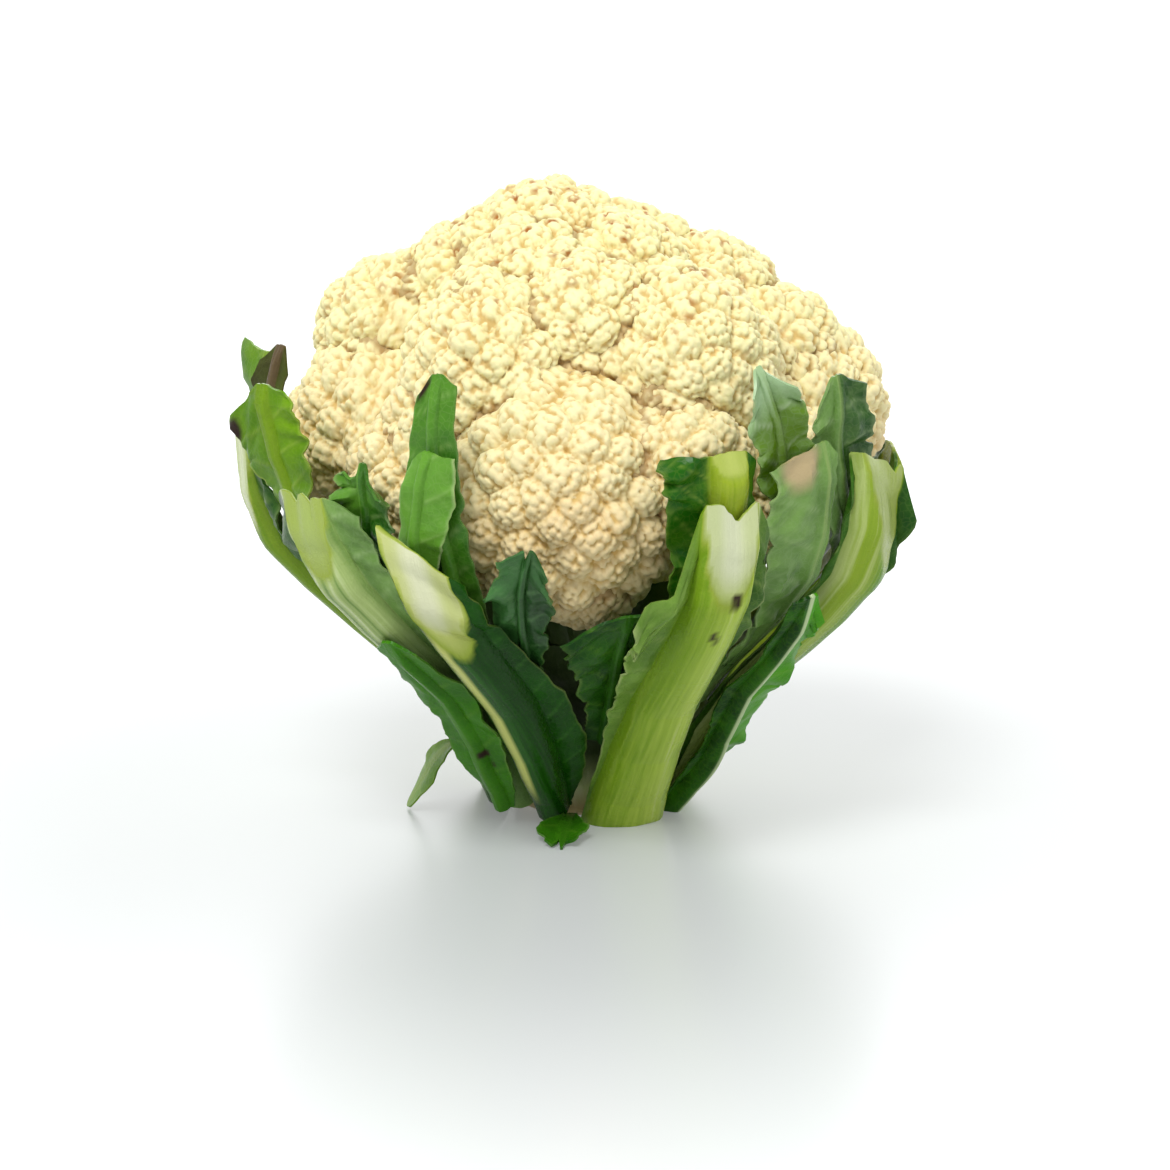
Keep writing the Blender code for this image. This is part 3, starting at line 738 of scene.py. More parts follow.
DRESSES = {
    # The rib's bands paint a shadow line on its left flank and a highlight line near its right
    # edge
    "leaf_front_right": Dress(
        Kind.PALE_RIB, (0.75, 0.15), 0.0, ((0.12, 0.3, 5.5), (-0.7, 0.2, 12)), 1.0, 0.6,
        edge=0.5, bands=(0.0, 0.2, 0.4, 0.7, 1.1, 0.5, 2.0),
        blemishes=((0.13, 0.83, 1.6), (-0.08, 0.765, 1.5), (0.02, 0.755, 1.0))),
    "leaf_right_low": Dress(Kind.BRIGHT, (0.1, 0.9), teeth=2.0, line=0.5, sliced=0.0),
    "leaf_right_rib": Dress(
        Kind.BROAD_RIB, (0.5, 0.15), 0.08, ((0.3, 0.15, 3),),
        bands=(1.4, 0.9, 1.2, 0.7, 0.0, 0.2, -0.3, 0.6), sliced=0.6, cut=0.84),
    "leaf_front_left": Dress(
        Kind.DARK_WAX, (0.2, 0.3), 0.05, ruffle=0.3, teeth=0.1, lobes=0.4, crumple=0.5,
        bands=(0.6, 0.2, 0.7, 0.2, 0.0), rim=1.0, sliced=0.95, cut=0.78),
    "leaf_left_rib": Dress(
        Kind.GREY_WAX, (0.1, 0.85), 0.0, ((-0.2, 0.12, 4), (0.15, 0.1, 2.5)), lobes=0.6,
        bands=(2.0, 0.2, 1.6, 0.2, 1.5, 0.4, 1.3, 0.4), sliced=0.45, fade=0.42),
    "leaf_left_low": Dress(
        Kind.GREEN, (1.0, 0.8), ruffle=0.8, teeth=0.2, lobes=0.7, crumple=1.4, rib=0.4,
        line=0.6, sliced=0.0, blemishes=((0.5, 0.4, 2.0), (0.6, 0.33, 1.2))),
    "leaf_far_left": Dress(
        Kind.BROAD_RIB, (0.1, 0.1), ruffle=1.6, teeth=0.8, lobes=1.6, crumple=2.0, rib=0.9,
        fade=0.5),
    "leaf_back_1": Dress(Kind.PALE_RIB, (0.3, 0.4)),
    "leaf_back_2": Dress(Kind.BROAD_RIB, (0.4, 0.3)),
    "leaf_back_3": Dress(Kind.PALE_RIB, (0.5, 0.4), 0.1),
    "leaf_back_4": Dress(Kind.BROAD_RIB, (0.4, 0.5)),
    "leaf_inner_right": Dress(
        Kind.YOUNG, (-0.1, 0.1), 0.0, ((-1.0, 0.5, 13),), ruffle=2.6, teeth=0.9, lobes=2.0,
        crumple=3.0, sliced=0.6),
    "leaf_mid_right": Dress(
        Kind.GREY_WAX, (0.8, 0.7), crumple=3.0, rib=0.6, line=0.5, sliced=0.0,
        blemishes=((-0.72, 0.96, 9.5),)),
    "leaf_right_top": Dress(
        Kind.GREY_WAX, (0.7, 0.1), crumple=2.6, rib=0.4, line=0.5, sliced=0.0),
    "leaf_right_curl": Dress(
        Kind.CURLED, (1.5, 1.1), 0.0, ((1.0, 0.6, 8),), 2.0, 0.4, 1.4, 3.0, rise=6.0,
        rib=0.1, sliced=0.0),
    # painted shade: this blade is set darkest to stand for the shade of the hollow behind the
    # front ribs
    "leaf_middle": Dress(
        Kind.GREEN, (0.05, -0.1), ruffle=2.0, teeth=1.0, lobes=1.8, crumple=2.8, rib=0.2,
        sliced=0.0),
    "leaf_middle_curl": Dress(
        Kind.SHADED, (0.7, 0.3), 0.0, ((-0.2, 0.35, 4), (1.0, 0.4, 4)), 2.4, 0.4, 1.6, 3.4,
        rib=0.1, sliced=0.0),
    "leaf_left_top": Dress(
        Kind.YOUNG, (0.6, 0.75), crumple=1.4, edge=0.5, rib=0.3, sliced=0.0,
        blemishes=((-1.0, 0.95, 4.0),)),
    "leaf_inner_left": Dress(
        Kind.SATIN, (0.5, 0.4), ruffle=0.6, teeth=0.2, lobes=0.8, rib=0.15, sliced=0.0,
        blemishes=((-0.75, 0.985, 2.4),)),
    "leaf_inner_left_low": Dress(
        Kind.SATIN, (1.0, 0.9), ruffle=0.5, teeth=0.1, lobes=0.5, edge=0.7, rib=0.1,
        sliced=0.0),
    "leaf_left_curl": Dress(
        Kind.SATIN, (0.6, 0.1), 0.0, ((0.9, 0.4, 6), (-0.6, 0.3, 4)), 2.4, 0.6, 2.2, 3.0,
        rib=0.1, sliced=0.0),
    "leaf_far_left_dark": Dress(Kind.PURPLE, crumple=1.6, sliced=0.0),
    "leaf_inner_back_1": Dress(Kind.YOUNG, (0.4, 0.3), crumple=1.5),
    "leaf_inner_back_2": Dress(Kind.GREEN, (0.4, 0.4), crumple=1.5, rib=0.5, sliced=0.0),
    "leaf_inner_back_3": Dress(Kind.YOUNG, (0.3, 0.3), crumple=1.5, rib=0.7),
    "leaf_inner_back_4": Dress(Kind.GREEN, (0.5, 0.5), crumple=1.5, rib=0.5, sliced=0.0),
    "leaf_inner_back_5": Dress(Kind.YOUNG, (0.4, 0.5), crumple=1.5, rib=0.4, sliced=0.0),
    "leaf_foot_front": Dress(
        Kind.GREEN, (0.6, 0.4), 0.0, ((-0.4, 0.3, 5), (0.6, 0.3, 3)), 1.0, 0.5, 1.4,
        rib=0.3, sliced=0.0),
    "leaf_foot_left": Dress(Kind.YOUNG, (1.0, 0.9), ruffle=0.4, rib=0.3, sliced=0.0),
}


@dataclass
class LeafBasket:
    """All the leaves: fine sheets on the CAD leaves' own forms."""

    wall: tuple = ((0, 23.5), (12, 27), (28, 35), (45, 48), (58, 62), (70, 74), (82, 84),
                   (96, 89.5), (112, 91.5), (128, 89), (142, 83), (156, 72))
    blade_thickness: float = 1.0
    margin_thickness: float = 0.55
    rib_share: float = 0.5
    bay_width: float = 6.5
    bay_depth: float = 2.4
    fine_tooth_spacing: float = 3.4
    ruffle_spacing: float = 11.0
    vein_spacing: float = 13.0
    vein_height: float = 0.55
    fibre_spacing: float = 2.2
    fibre_depth: float = 0.22
    large_grid: tuple = (36, 96)
    small_grid: tuple = (26, 56)
    rib_columns: float = 0.36
    twig_spacing: float = 0.45  # of the fine veins between the side veins, as a share of theirs
    crisp: float = 38.0  # degrees past which an edge stays sharp

    def build(self) -> None:
        """Builds and dresses every leaf, with one material for each kind of finish."""
        finishes = {kind: kind.value.build() for kind in Kind}
        for number, leaf in enumerate(LEAVES):
            dress = DRESSES[leaf.name]
            obj = self.sheet(number, leaf, dress)
            settle(obj, f"fine_{leaf.name}", leaf.name, finishes[dress.kind], self.crisp)

    def line(self, leaf: Leaf, share: np.ndarray) -> tuple:
        """Places points on a leaf's middle line.

        Args:
            leaf: The leaf.
            share: Places from root, 0, to top, 1.

        Returns:
            Azimuths in radians, radii and heights.
        """
        azimuth, height, lift = (along(column, share) for column in zip(*leaf.path))
        heights, radii = zip(*self.wall)
        return np.radians(azimuth), np.interp(height, heights, radii) + lift, height

    def length(self, leaf: Leaf) -> float:
        """Measures a leaf's middle line, in millimetres."""
        azimuth, radius, height = self.line(leaf, np.linspace(0, 1, 60))
        x, y = radius * np.sin(azimuth), radius * np.cos(azimuth)
        steps = np.diff(np.stack([x, y, height]), axis=1)
        return float(np.sqrt((steps**2).sum(0)).sum())

    def outline(self, number: int, leaf: Leaf, dress: Dress, across: np.ndarray,
                share: np.ndarray) -> dict:
        """Measures a leaf across and along, with the bays and teeth in its margins.

        Args:
            number: The leaf's place in the table, which seeds its pattern.
            leaf: The leaf's form.
            dress: The leaf's finish.
            across: From -1 at the left edge to 1 at the right edge.
            share: From 0 at the root to 1 at the top.

        Returns:
            Measures in millimetres and random swells, by name.
        """
        length = self.length(leaf)
        side = np.where(across < 0, -1.0, 1.0)
        reach = np.abs(across)
        edge = np.clip((reach - self.rib_share) / (1 - self.rib_share), 0.0, 1.0)
        half_rib = along(leaf.rib, share) / 2
        blade = np.where(across < 0, along(leaf.left, share), along(leaf.right, share))

        run = share * length
        flat = np.zeros_like(run)
        strip = np.stack([run, side * 40.0, flat], axis=1)
        bays = wander(strip, self.bay_width, number + 70)
        blade = blade + self.bay_depth * dress.lobes * bays * np.minimum(1.0, blade / 6)
        uneven = wander(strip, 9.0, number)
        phase = (run / self.fine_tooth_spacing + 2.4 * uneven + 0.3 * side) % 1.0
        teeth = (phase**1.6 - 0.4) * (0.6 + 0.8 * uneven)
        small = wander(strip, 2.6, number + 50)
        blade = blade + (dress.teeth * teeth + 0.6 * small) * np.minimum(1.0, blade / 7)
        blade = np.maximum(blade, 0.5)
        sideways = side * (np.minimum(reach, self.rib_share) / self.rib_share * half_rib
                           + edge * blade)
        sheet = np.stack([sideways, run, flat], axis=1)
        return {
            "length": length, "side": side, "edge": edge, "blade": blade,
            "sideways": sideways, "run": run, "uneven": uneven,
            "soft": smooth_step(3.0, 9.0, blade) * smooth_step(0.05, 0.2, share),
            "bend": wander(sheet, 16.0, number + 90),
            "swell": wander(strip, 5.5, number + 40),
            "broken": wander(strip, 12.0, number + 30),
            "folds": 1 - 3.2 * np.abs(wander(sheet, 13.0, number + 20)),
        }

    def veins(self, share: np.ndarray, find: dict) -> np.ndarray:
        """Draws side veins, which climb from the rib to the margin, and finer ones between.

        Args:
            share: From 0 at the root to 1 at the top.
            find: The leaf's outline.

        Returns:
            How clearly each point lies on a vein, from 0 to 1.
        """
        edge, blade, length = find["edge"], find["blade"], find["length"]
        slope = blade / length * (0.75 + 0.3 * find["bend"])
        origin = (share - edge * slope) * length / self.vein_spacing + 0.37 * find["side"]
        off_vein = np.abs(origin - np.round(origin)) * self.vein_spacing
        vein = np.exp(-((off_vein / (0.85 - 0.35 * edge)) ** 2))
        vein *= smooth_step(0.0, 0.08, edge) * smooth_step(1.5, 6.0, blade) * (1 - 0.45 * edge)
        twigs = self.vein_spacing * self.twig_spacing
        twig = (share + edge * slope * 0.8) * length / twigs
        off_twig = np.abs(twig - np.round(twig)) * twigs
        return np.maximum(vein, 0.4 * np.exp(-((off_twig / 0.45) ** 2))
                          * smooth_step(0.25, 0.5, edge) * smooth_step(4.0, 9.0, blade))

    def knife_cut(self, leaf: Leaf, dress: Dress, across: np.ndarray, share: np.ndarray) -> dict:
        """Finds how round the rib is, how thick the knife left it and where it is bare.

        Args:
            leaf: The leaf's form.
            dress: The leaf's finish.
            across: From -1 at the left edge to 1 at the right edge.
            share: From 0 at the root to 1 at the top.

        Returns:
            Shares of the rib's thickness as round_off and knife, and the mask cut.
        """
        reach = np.abs(across)
        round_off = np.sqrt(np.maximum(0.0, 1 - np.minimum(1.0, reach / self.rib_share) ** 2.4))
        tilted = share + dress.tilt * np.clip(across / self.rib_share, -1, 1)
        entry = dress.cut or leaf.cut
        knife = 1 - np.clip((tilted - entry) / (1 - entry), 0.0, 1.0)
        bare = smooth_step(-0.02, 0.2, round_off - knife)
        bare *= smooth_step(0.0, 0.04, share - entry + abs(dress.tilt)) * (reach <= self.rib_share)
        # The cut is whitest in its middle and towards its top: partly pith, partly a painted
        # highlight
        bare *= 0.45 + 0.35 * smooth_step(0.1, 0.5, (share - entry) / (1 - entry)) + (
            0.2 * (1 - smooth_step(0.15, 0.6, reach / self.rib_share)))
        return {"round_off": round_off, "knife": knife, "cut": bare * dress.sliced}

    def spots(self, leaf: Leaf, dress: Dress, share: np.ndarray, find: dict) -> np.ndarray:
        """Draws the blemishes, each with an uneven rim.

        Args:
            leaf: The leaf's form.
            dress: The leaf's finish.
            share: From 0 at the root to 1 at the top.
            find: The leaf's outline.

        Returns:
            How clearly each point lies in a blemish, from 0 to 1.
        """
        blemish = np.zeros_like(share)
        for spot_across, spot_share, size in dress.blemishes:
            gap = np.hypot(find["sideways"] - self.sideways(leaf, spot_share, spot_across),
                           (share - spot_share) * find["length"])
            gap = gap + 0.3 * size * find["uneven"]
            blemish = np.maximum(blemish, 1 - smooth_step(0.5 * size, size, gap))
        return blemish

    def features(self, number: int, leaf: Leaf, dress: Dress, across: np.ndarray,
                 share: np.ndarray) -> dict:
        """Works out what lies where on a leaf.

        Args:
            number: The leaf's place in the table, which seeds its pattern.
            leaf: The leaf's form.
            dress: The leaf's finish.
            across: From -1 at the left edge to 1 at the right edge.
            share: From 0 at the root to 1 at the top.

        Returns:
            Arrays by name: the measures that shape the mesh, and the masks that paint it.
        """
        find = self.outline(number, leaf, dress, across, share)
        edge, bend = find["edge"], find["bend"]
        fibre = 0.5 - 0.5 * np.cos(
            2 * math.pi * find["sideways"] / self.fibre_spacing + 2.0 * bend + number)
        inset = smooth_step(dress.line - 0.25, dress.line, np.abs(across) / self.rib_share)
        ribbed = 1 - (smooth_step(0.0, 0.18, edge) if dress.line >= 1 else inset)
        ribbed = ribbed * smooth_step(dress.fade - 0.15, dress.fade + 0.1, share)
        places = np.linspace(-self.rib_share, self.rib_share, len(dress.bands))
        tone = np.where(across < 0, dress.tone[0], dress.tone[1]) + 0.25 * bend
        tone = tone + dress.rise * (share - 1)
        margin = smooth_step(0.92, 0.99, edge) * smooth_step(1.0, 3.0, find["blade"]) * dress.edge
        margin = margin * (0.6 + 0.8 * find["broken"])
        rim = smooth_step(0.0, 0.08, -across) * (1 - smooth_step(0.2, 0.27, -across))
        rim = rim * smooth_step(0.1, 0.3, share) * dress.rim
        return find | self.knife_cut(leaf, dress, across, share) | {
            "fibre": fibre, "vein": self.veins(share, find) * (1 - ribbed),
            "rib": ribbed * dress.rib, "tone": np.clip(tone, 0, 1),
            "band": np.interp(across + 0.03 * bend, places, dress.bands),
            "margin": np.clip(np.maximum(margin, rim), 0, 1),
            "blemish": self.spots(leaf, dress, share, find),
        }

    def sideways(self, leaf: Leaf, share: float, across: float) -> float:
        """How far a place is from the rib's middle, in millimetres, and on which side."""
        place = np.array([share])
        half_rib = float(along(leaf.rib, place)[0]) / 2
        blade = float(along(leaf.left if across < 0 else leaf.right, place)[0])
        edge = max(0.0, abs(across) - self.rib_share) / (1 - self.rib_share)
        reach = min(abs(across), self.rib_share) / self.rib_share * half_rib + edge * blade
        return math.copysign(reach, across)

    def past_top(self, leaf: Leaf, dress: Dress, share: np.ndarray, across: np.ndarray,
                 find: dict) -> np.ndarray:
        """Shifts points along the leaf, so that its top slants, has notches and is ragged.

        Args:
            leaf: The leaf's form.
            dress: The leaf's finish.
            share: From 0 at the root to 1 at the top.
            across: From -1 at the left edge to 1 at the right edge.
            find: What features found there.

        Returns:
            Shifts towards the top, in millimetres.
        """
        left_top, rib_top, right_top = leaf.top
        edge_top = np.where(find["side"] < 0, left_top, right_top)
        rib_top = rib_top - leaf.slant * (np.clip(across / self.rib_share, -1, 1) + 1) / 2
        onwards = (rib_top + (edge_top - rib_top) * find["edge"]) * smooth_step(0.55, 1.0, share)
        for place, half_width, depth in dress.notches:
            dent = np.maximum(0.0, 1 - np.abs(across - place) / half_width)
            onwards = onwards - depth * dent * smooth_step(
                1.0 - max(0.18, 2.2 * depth / find["length"]), 1.0, share)
        ragged = np.stack([find["sideways"], np.zeros_like(share), find["side"] * 9], axis=1)
        return onwards + 0.9 * wander(ragged, 3.0, leaf.cut * 31) * smooth_step(0.9, 1.0, share)

    def stand_off(self, leaf: Leaf, dress: Dress, share: np.ndarray, find: dict) -> np.ndarray:
        """Bends a blade off its plain sheet: a cup, long waves, ruffles and folds.

        Args:
            leaf: The leaf's form.
            dress: The leaf's finish.
            share: From 0 at the root to 1 at the top.
            find: What features found there.

        Returns:
            Shifts outwards, in millimetres.
        """
        side, edge = find["side"], find["edge"]
        height_of_wave, count, phase = leaf.wave
        cup = np.where(side < 0, leaf.cup[0], leaf.cup[1])
        wave = height_of_wave * np.sin(2 * math.pi * count * share + phase + side)
        off = edge**1.5 * (cup * smooth_step(0.0, 0.35, share)
                           + wave * smooth_step(0.1, 0.5, share))
        ruffle = np.sin(2 * math.pi * find["run"] / self.ruffle_spacing + 5.0 * find["uneven"])
        soft = find["soft"]
        off = off + dress.ruffle * (0.4 * ruffle + 1.6 * find["swell"]) * edge**1.8 * soft
        return off + 0.6 * dress.crumple * find["folds"] * smooth_step(0.0, 0.35, edge) * soft

    def thickness(self, leaf: Leaf, share: np.ndarray, find: dict) -> np.ndarray:
        """Adds up blade, midrib and veins.

        Args:
            leaf: The leaf's form.
            share: From 0 at the root to 1 at the top.
            find: What features found there.

        Returns:
            The leaf's thickness at each point, in millimetres.
        """
        edge = find["edge"]
        rib_height = leaf.stout[0] + (leaf.stout[1] - leaf.stout[0]) * share
        rib = rib_height * np.minimum(find["round_off"], find["knife"])
        rib = rib - self.fibre_depth * find["fibre"] * smooth_step(0.8, 2.5, rib) * (
            1 - find["cut"])
        blade = self.blade_thickness + (self.margin_thickness - self.blade_thickness) * edge**2
        thickness = blade + np.maximum(rib, 0.0)
        return thickness + self.vein_height * find["vein"] * (1 - 0.5 * edge) * find["soft"]

    def lay_out(self, leaf: Leaf, dress: Dress, share: np.ndarray, across: np.ndarray,
                find: dict) -> np.ndarray:
        """Lays a leaf's inner face along its path.

        Args:
            leaf: The leaf's form.
            dress: The leaf's finish.
            share: From 0 at the root to 1 at the top.
            across: From -1 at the left edge to 1 at the right edge.
            find: What features found there.

        Returns:
            The points of the inner face, in millimetres.
        """
        step = 0.02
        azimuth, radius, height = self.line(leaf, share)
        end = self.line(leaf, np.where(share < 1 - step, share + step, share))
        start = self.line(leaf, np.where(share > step, share - step, share))
        rise = np.hypot(end[1] - start[1], end[2] - start[2])
        out_part, up_part = (end[1] - start[1]) / rise, (end[2] - start[2]) / rise
        lean = np.arctan2((end[0] - start[0]) * radius, rise)

        sideways = find["sideways"]
        twist = math.radians(leaf.twist) * smooth_step(0.4, 0.9, share)
        off = self.stand_off(leaf, dress, share, find) + sideways * np.sin(twist)
        sideways = sideways * np.cos(twist)
        onwards = self.past_top(leaf, dress, share, across, find)

        turn = sideways * np.cos(lean) + onwards * np.sin(lean)
        slide = -sideways * np.sin(lean) + onwards * np.cos(lean)
        azimuth = azimuth + turn / radius
        radius = radius + out_part * slide + up_part * off
        height = height + up_part * slide - out_part * off
        return np.stack([radius * np.sin(azimuth), -radius * np.cos(azimuth), height], axis=1)

    def sheet(self, number: int, leaf: Leaf, dress: Dress) -> bpy.types.Object:
        """Makes one leaf from a grid, thickened outwards and cut flat at its foot.

        Args:
            number: The leaf's place in the table.
            leaf: The leaf's form.
            dress: The leaf's finish.

        Returns:
            The leaf, with its place in its mesh.
        """
        columns, rows = self.small_grid if leaf.small else self.large_grid
        obj = start_with(bpy.ops.mesh.primitive_grid_add, x_subdivisions=columns,
                         y_subdivisions=rows, size=2.0)
        flat = read_points(obj)
        share = (flat[:, 1] + 1) / 2
        reach = np.abs(flat[:, 0])
        crowded = np.where(
            reach < self.rib_columns,
            reach / self.rib_columns * self.rib_share,
            self.rib_share + (reach - self.rib_columns) / (1 - self.rib_columns)
            * (1 - self.rib_share))
        across = np.sign(flat[:, 0]) * crowded
        find = self.features(number, leaf, dress, across, share)
        write_points(obj, self.lay_out(leaf, dress, share, across, find) * MM)
        thickness = self.thickness(leaf, share, find)
        thickest = float(thickness.max())
        group = obj.vertex_groups.new(name="thickness")
        for index, value in enumerate(thickness):
            group.add([index], value / thickest, "REPLACE")
        bpy.ops.object.modifier_add(type="SOLIDIFY")
        flesh = obj.modifiers[0]
        flesh.thickness = thickest * MM
        flesh.offset = 1.0
        flesh.vertex_group = group.name
        bpy.ops.object.modifier_apply(modifier=flesh.name)
        obj.vertex_groups.clear()
        solid = read_points(obj)
        solid[:, 2] = np.maximum(solid[:, 2], 0.0)
        write_points(obj, keep_inside(solid, leaf.name))

        for name in ("tone", "vein", "rib", "band", "margin", "cut", "blemish"):
            outer = find[name]
            inner = np.zeros_like(outer) if name == "cut" else outer
            write_attribute(obj, name, np.concatenate([outer, inner]))
        lay = np.stack([find["sideways"] / 10 + number * 3, find["run"] / 10,
                        np.full_like(share, number)], axis=1)
        write_attribute(obj, "lay", np.concatenate([lay, lay]))
        return obj


@dataclass
class Curd:
    """The dome of florets: each is a ball of lobes, covered with knobs and buds."""

    centre: tuple = (0.0, 0.0, 114.0)
    florets: tuple = (
        # the crown
        (-12, 2, 160, 29), (-36, 2, 152, 23), (14, 9, 158, 23), (37, -2, 150, 21),
        (-8, 34, 150, 23), (22, 36, 147, 22), (-14, -24, 161, 18), (12, -20, 163, 17),
        # the upper ring, from the front left round to the back
        (-27, -43, 138, 25), (0, -42, 151, 20), (29, -42, 138, 26), (57, -8, 136, 21),
        (41, 18, 152, 18), (-59, 4, 143, 22), (-40, 36, 140, 23), (4, 57, 128, 25),
        (50, 44, 124, 23), (-50, 50, 114, 23),
        # the lower ring, which the leaves hold
        (-6, -54, 104, 33), (27, -61, 112, 19), (-33, -54, 92, 17), (-64, -8, 114, 26),
        (-48, -43, 104, 20), (68, -6, 121, 24), (54, -41, 106, 20), (66, 22, 112, 22),
        (-64, 25, 110, 22), (-22, 61, 98, 25), (28, 63, 98, 23), (2, -60, 77, 12),
    )
    fillers: tuple = (  # young florets deep in the hollows that the photograph shows full
        (-5, -50, 132, 15), (21, -55, 128, 13), (-27, -34, 152, 15), (-44, -44, 121, 15),
        (48, -33, 124, 15), (22, -34, 155, 14),
    )
    tuck: float = 0.24
    lobe_radius: float = 7.8
    lobe_spacing: float = 11.6
    lobe_groove: float = 0.8
    seam_fill: float = 0.7
    seam_width: float = 4.5
    seam_depth: float = 1.8
    body_depth: float = 3.4
    knob_spacing: float = 3.0
    knob_height: float = 1.45
    bud_spacing: float = 1.6
    bud_height: float = 0.35
    facet: float = 1.13
    outward_share: float = 0.74
    core: tuple = (60.0, 60.0, 52.0)
    core_floor: float = 60.0
    core_spacing: float = 9.0
    core_relief: float = 2.0

    def build(self) -> None:
        """Builds the core and every floret in the same cream."""
        cream = CurdFinish("curd_buds").build()
        self.build_core(cream)
        for number, floret in enumerate(self.florets + self.fillers):
            obj = self.build_floret(number, floret)
            settle(obj, f"floret_{number:02d}", "curd", cream, 180.0)

    def lattice(self, count: int, draw: np.random.Generator, jitter: float) -> np.ndarray:
        """Spreads directions evenly over a ball by the golden angle, then disturbs them.

        Args:
            count: How many directions.
            draw: The source of the disturbance.
            jitter: How far each direction may move, as a share of their spacing.

        Returns:
            Unit directions, one row each.
        """
        k = np.arange(count)
        z = 1 - 2 * (k + 0.5) / count
        turn = draw.uniform(0, 2 * math.pi) + k * GOLDEN_ANGLE
        ring = np.sqrt(1 - z * z)
        spots = np.stack([ring * np.cos(turn), ring * np.sin(turn), z], axis=1)
        spots += draw.normal(0, jitter * math.sqrt(4 * math.pi / count), spots.shape)
        return unit(spots)

    def bumps(self, facing: np.ndarray, radius: float, spacing: float,
              draw: np.random.Generator) -> np.ndarray:
        """Covers a lobe with small round bumps.

        Args:
            facing: Unit directions from the lobe's middle.
            radius: The lobe's radius.
            spacing: From one bump to the next.
            draw: The source of the bumps' sizes.

        Returns:
            The height at each direction, from 0 between bumps to 1 on top of one.
        """
        count = max(12, round(4 * math.pi * radius**2 / (0.87 * spacing**2)))
        spots = self.lattice(count, draw, 0.16)
        sizes = spacing * draw.uniform(0.5, 0.62, count)
        dome = 1 - (2 * radius**2 / sizes**2) * (1 - facing @ spots.T)
        return np.sqrt(np.clip(dome.max(axis=1), 0.0, 1.0))

    def tucked(self, floret: tuple) -> tuple:
        """Makes a floret wider and sinks it, so that its tip stays and its creases are shallow.

        Args:
            floret: The middle and radius of its CAD ball.

        Returns:
            Its new middle, its new radius and the unit direction outwards.
        """
        middle = np.array(floret[:3], float)
        outward = middle - np.array(self.centre)
        outward /= np.linalg.norm(outward)
        return middle - outward * floret[3] * self.tuck, floret[3] * (1 + self.tuck), outward

    def floret_form(self, number: int, size: float, outward: np.ndarray,
                    rays: np.ndarray) -> tuple:
        """Finds a floret's surface along rays from its middle.

        Args:
            number: The floret's place in the table, which seeds its lobes.
            size: Its radius.
            outward: Its unit direction outwards, away from which lobes are left out.
            rays: Unit directions.

        Returns:
            Distances in millimetres, and how deep in a crease each point lies, from 0 to 1, which
            the finish paints as shade.
        """
        draw = np.random.default_rng(number)
        lobes = round(4 * math.pi * (size / self.lobe_spacing) ** 2)
        radii = self.lobe_radius * draw.uniform(0.8, 1.12, lobes)
        reach = size - radii + draw.uniform(-1.3, 0.3, lobes)
        middles = self.lattice(lobes, draw, 0.15) * reach[:, None]
        spacings = self.knob_spacing * draw.uniform(0.85, 1.2, lobes)
        nearest = rays @ middles.T
        miss = radii**2 - (middles**2).sum(1) + nearest**2
        hits = np.where(miss > 0, nearest + np.sqrt(np.maximum(miss, 0)), 0.0)
        second, top = np.partition(hits, -2, axis=1)[:, -2:].T
        groove = np.exp(-(((top - second) / 0.7) ** 2))

        body = size - self.body_depth
        relief = self.knob_height + self.bud_height
        bare = np.flatnonzero(top < body + relief)
        knob = np.ones(len(rays))
        knob[bare] = self.bumps(rays[bare], body, self.knob_spacing, draw)
        best = body - relief * (1 - knob)
        low = 1.1 * (1 - knob)
        for k in range(lobes):
            near = np.flatnonzero(hits[:, k] > np.maximum(top, body) - relief)
            if not len(near) or middles[k] @ outward < -0.4 * size:
                continue
            source = np.random.default_rng(1000 * number + k)
            facing = (rays[near] * hits[near, k, None] - middles[k]) / radii[k]
            knob = self.bumps(facing, radii[k], spacings[k], source)
            bud = self.bumps(facing, radii[k], self.bud_spacing, source)
            depth = self.knob_height * (1 - knob) + self.bud_height * (1 - bud)
            found = hits[near, k] - depth
            wins = found > best[near]
            best[near[wins]] = found[wins]
            low[near[wins]] = (1.1 * (1 - knob) + 0.2 * (1 - bud))[wins]
        # The crease value, from the depth below knobs, lobes and grooves, is painted as shade
        sunk = smooth_step(1.6, 4.2, size - top)
        crease = 0.6 * low + 0.5 * sunk * (0.4 + 0.6 * low) + 0.25 * groove
        return best - self.lobe_groove * groove, np.clip(crease, 0.0, 1.0)

    def build_floret(self, number: int, floret: tuple) -> bpy.types.Object:
        """Makes one floret from an even ball, with more triangles on its outer side.

        Args:
            number: The floret's place in the table.
            floret: Its middle and radius.

        Returns:
            The floret, with its place in its mesh.
        """
        middle, size, outward = self.tucked(floret)
        obj = start_with(bpy.ops.mesh.primitive_ico_sphere_add, subdivisions=1, radius=1.0)
        with edit_mode():
            bpy.ops.mesh.subdivide(number_cuts=round(size * self.facet) - 1)
            bpy.ops.mesh.quads_convert_to_tris()
        rays = unit(unit(read_points(obj)) + self.outward_share * outward)
        distance, crease = self.floret_form(number, size, outward, rays)
        points = middle + rays * distance[:, None]
        gaps = []
        for i, other in enumerate(self.florets):
            if i != number:
                place, reach, _ = self.tucked(other)
                gaps.append(np.linalg.norm(points - place, axis=1) - reach)
        gap = np.min(gaps, axis=0)
        away = unit(points - np.array(self.centre))
        sunk = gap + self.seam_depth
        fill = self.seam_fill * np.exp(-((sunk / self.seam_width) ** 2))
        write_points(obj, keep_inside((points + away * fill[:, None]) * MM, "curd"))
        # The crease and seam values are painted as shade, in the hollows and where florets meet
        write_attribute(obj, "crease", crease)
        write_attribute(obj, "seam_shade", 0.7 * (1 - smooth_step(-1.2, 0.1, sunk)))
        return obj

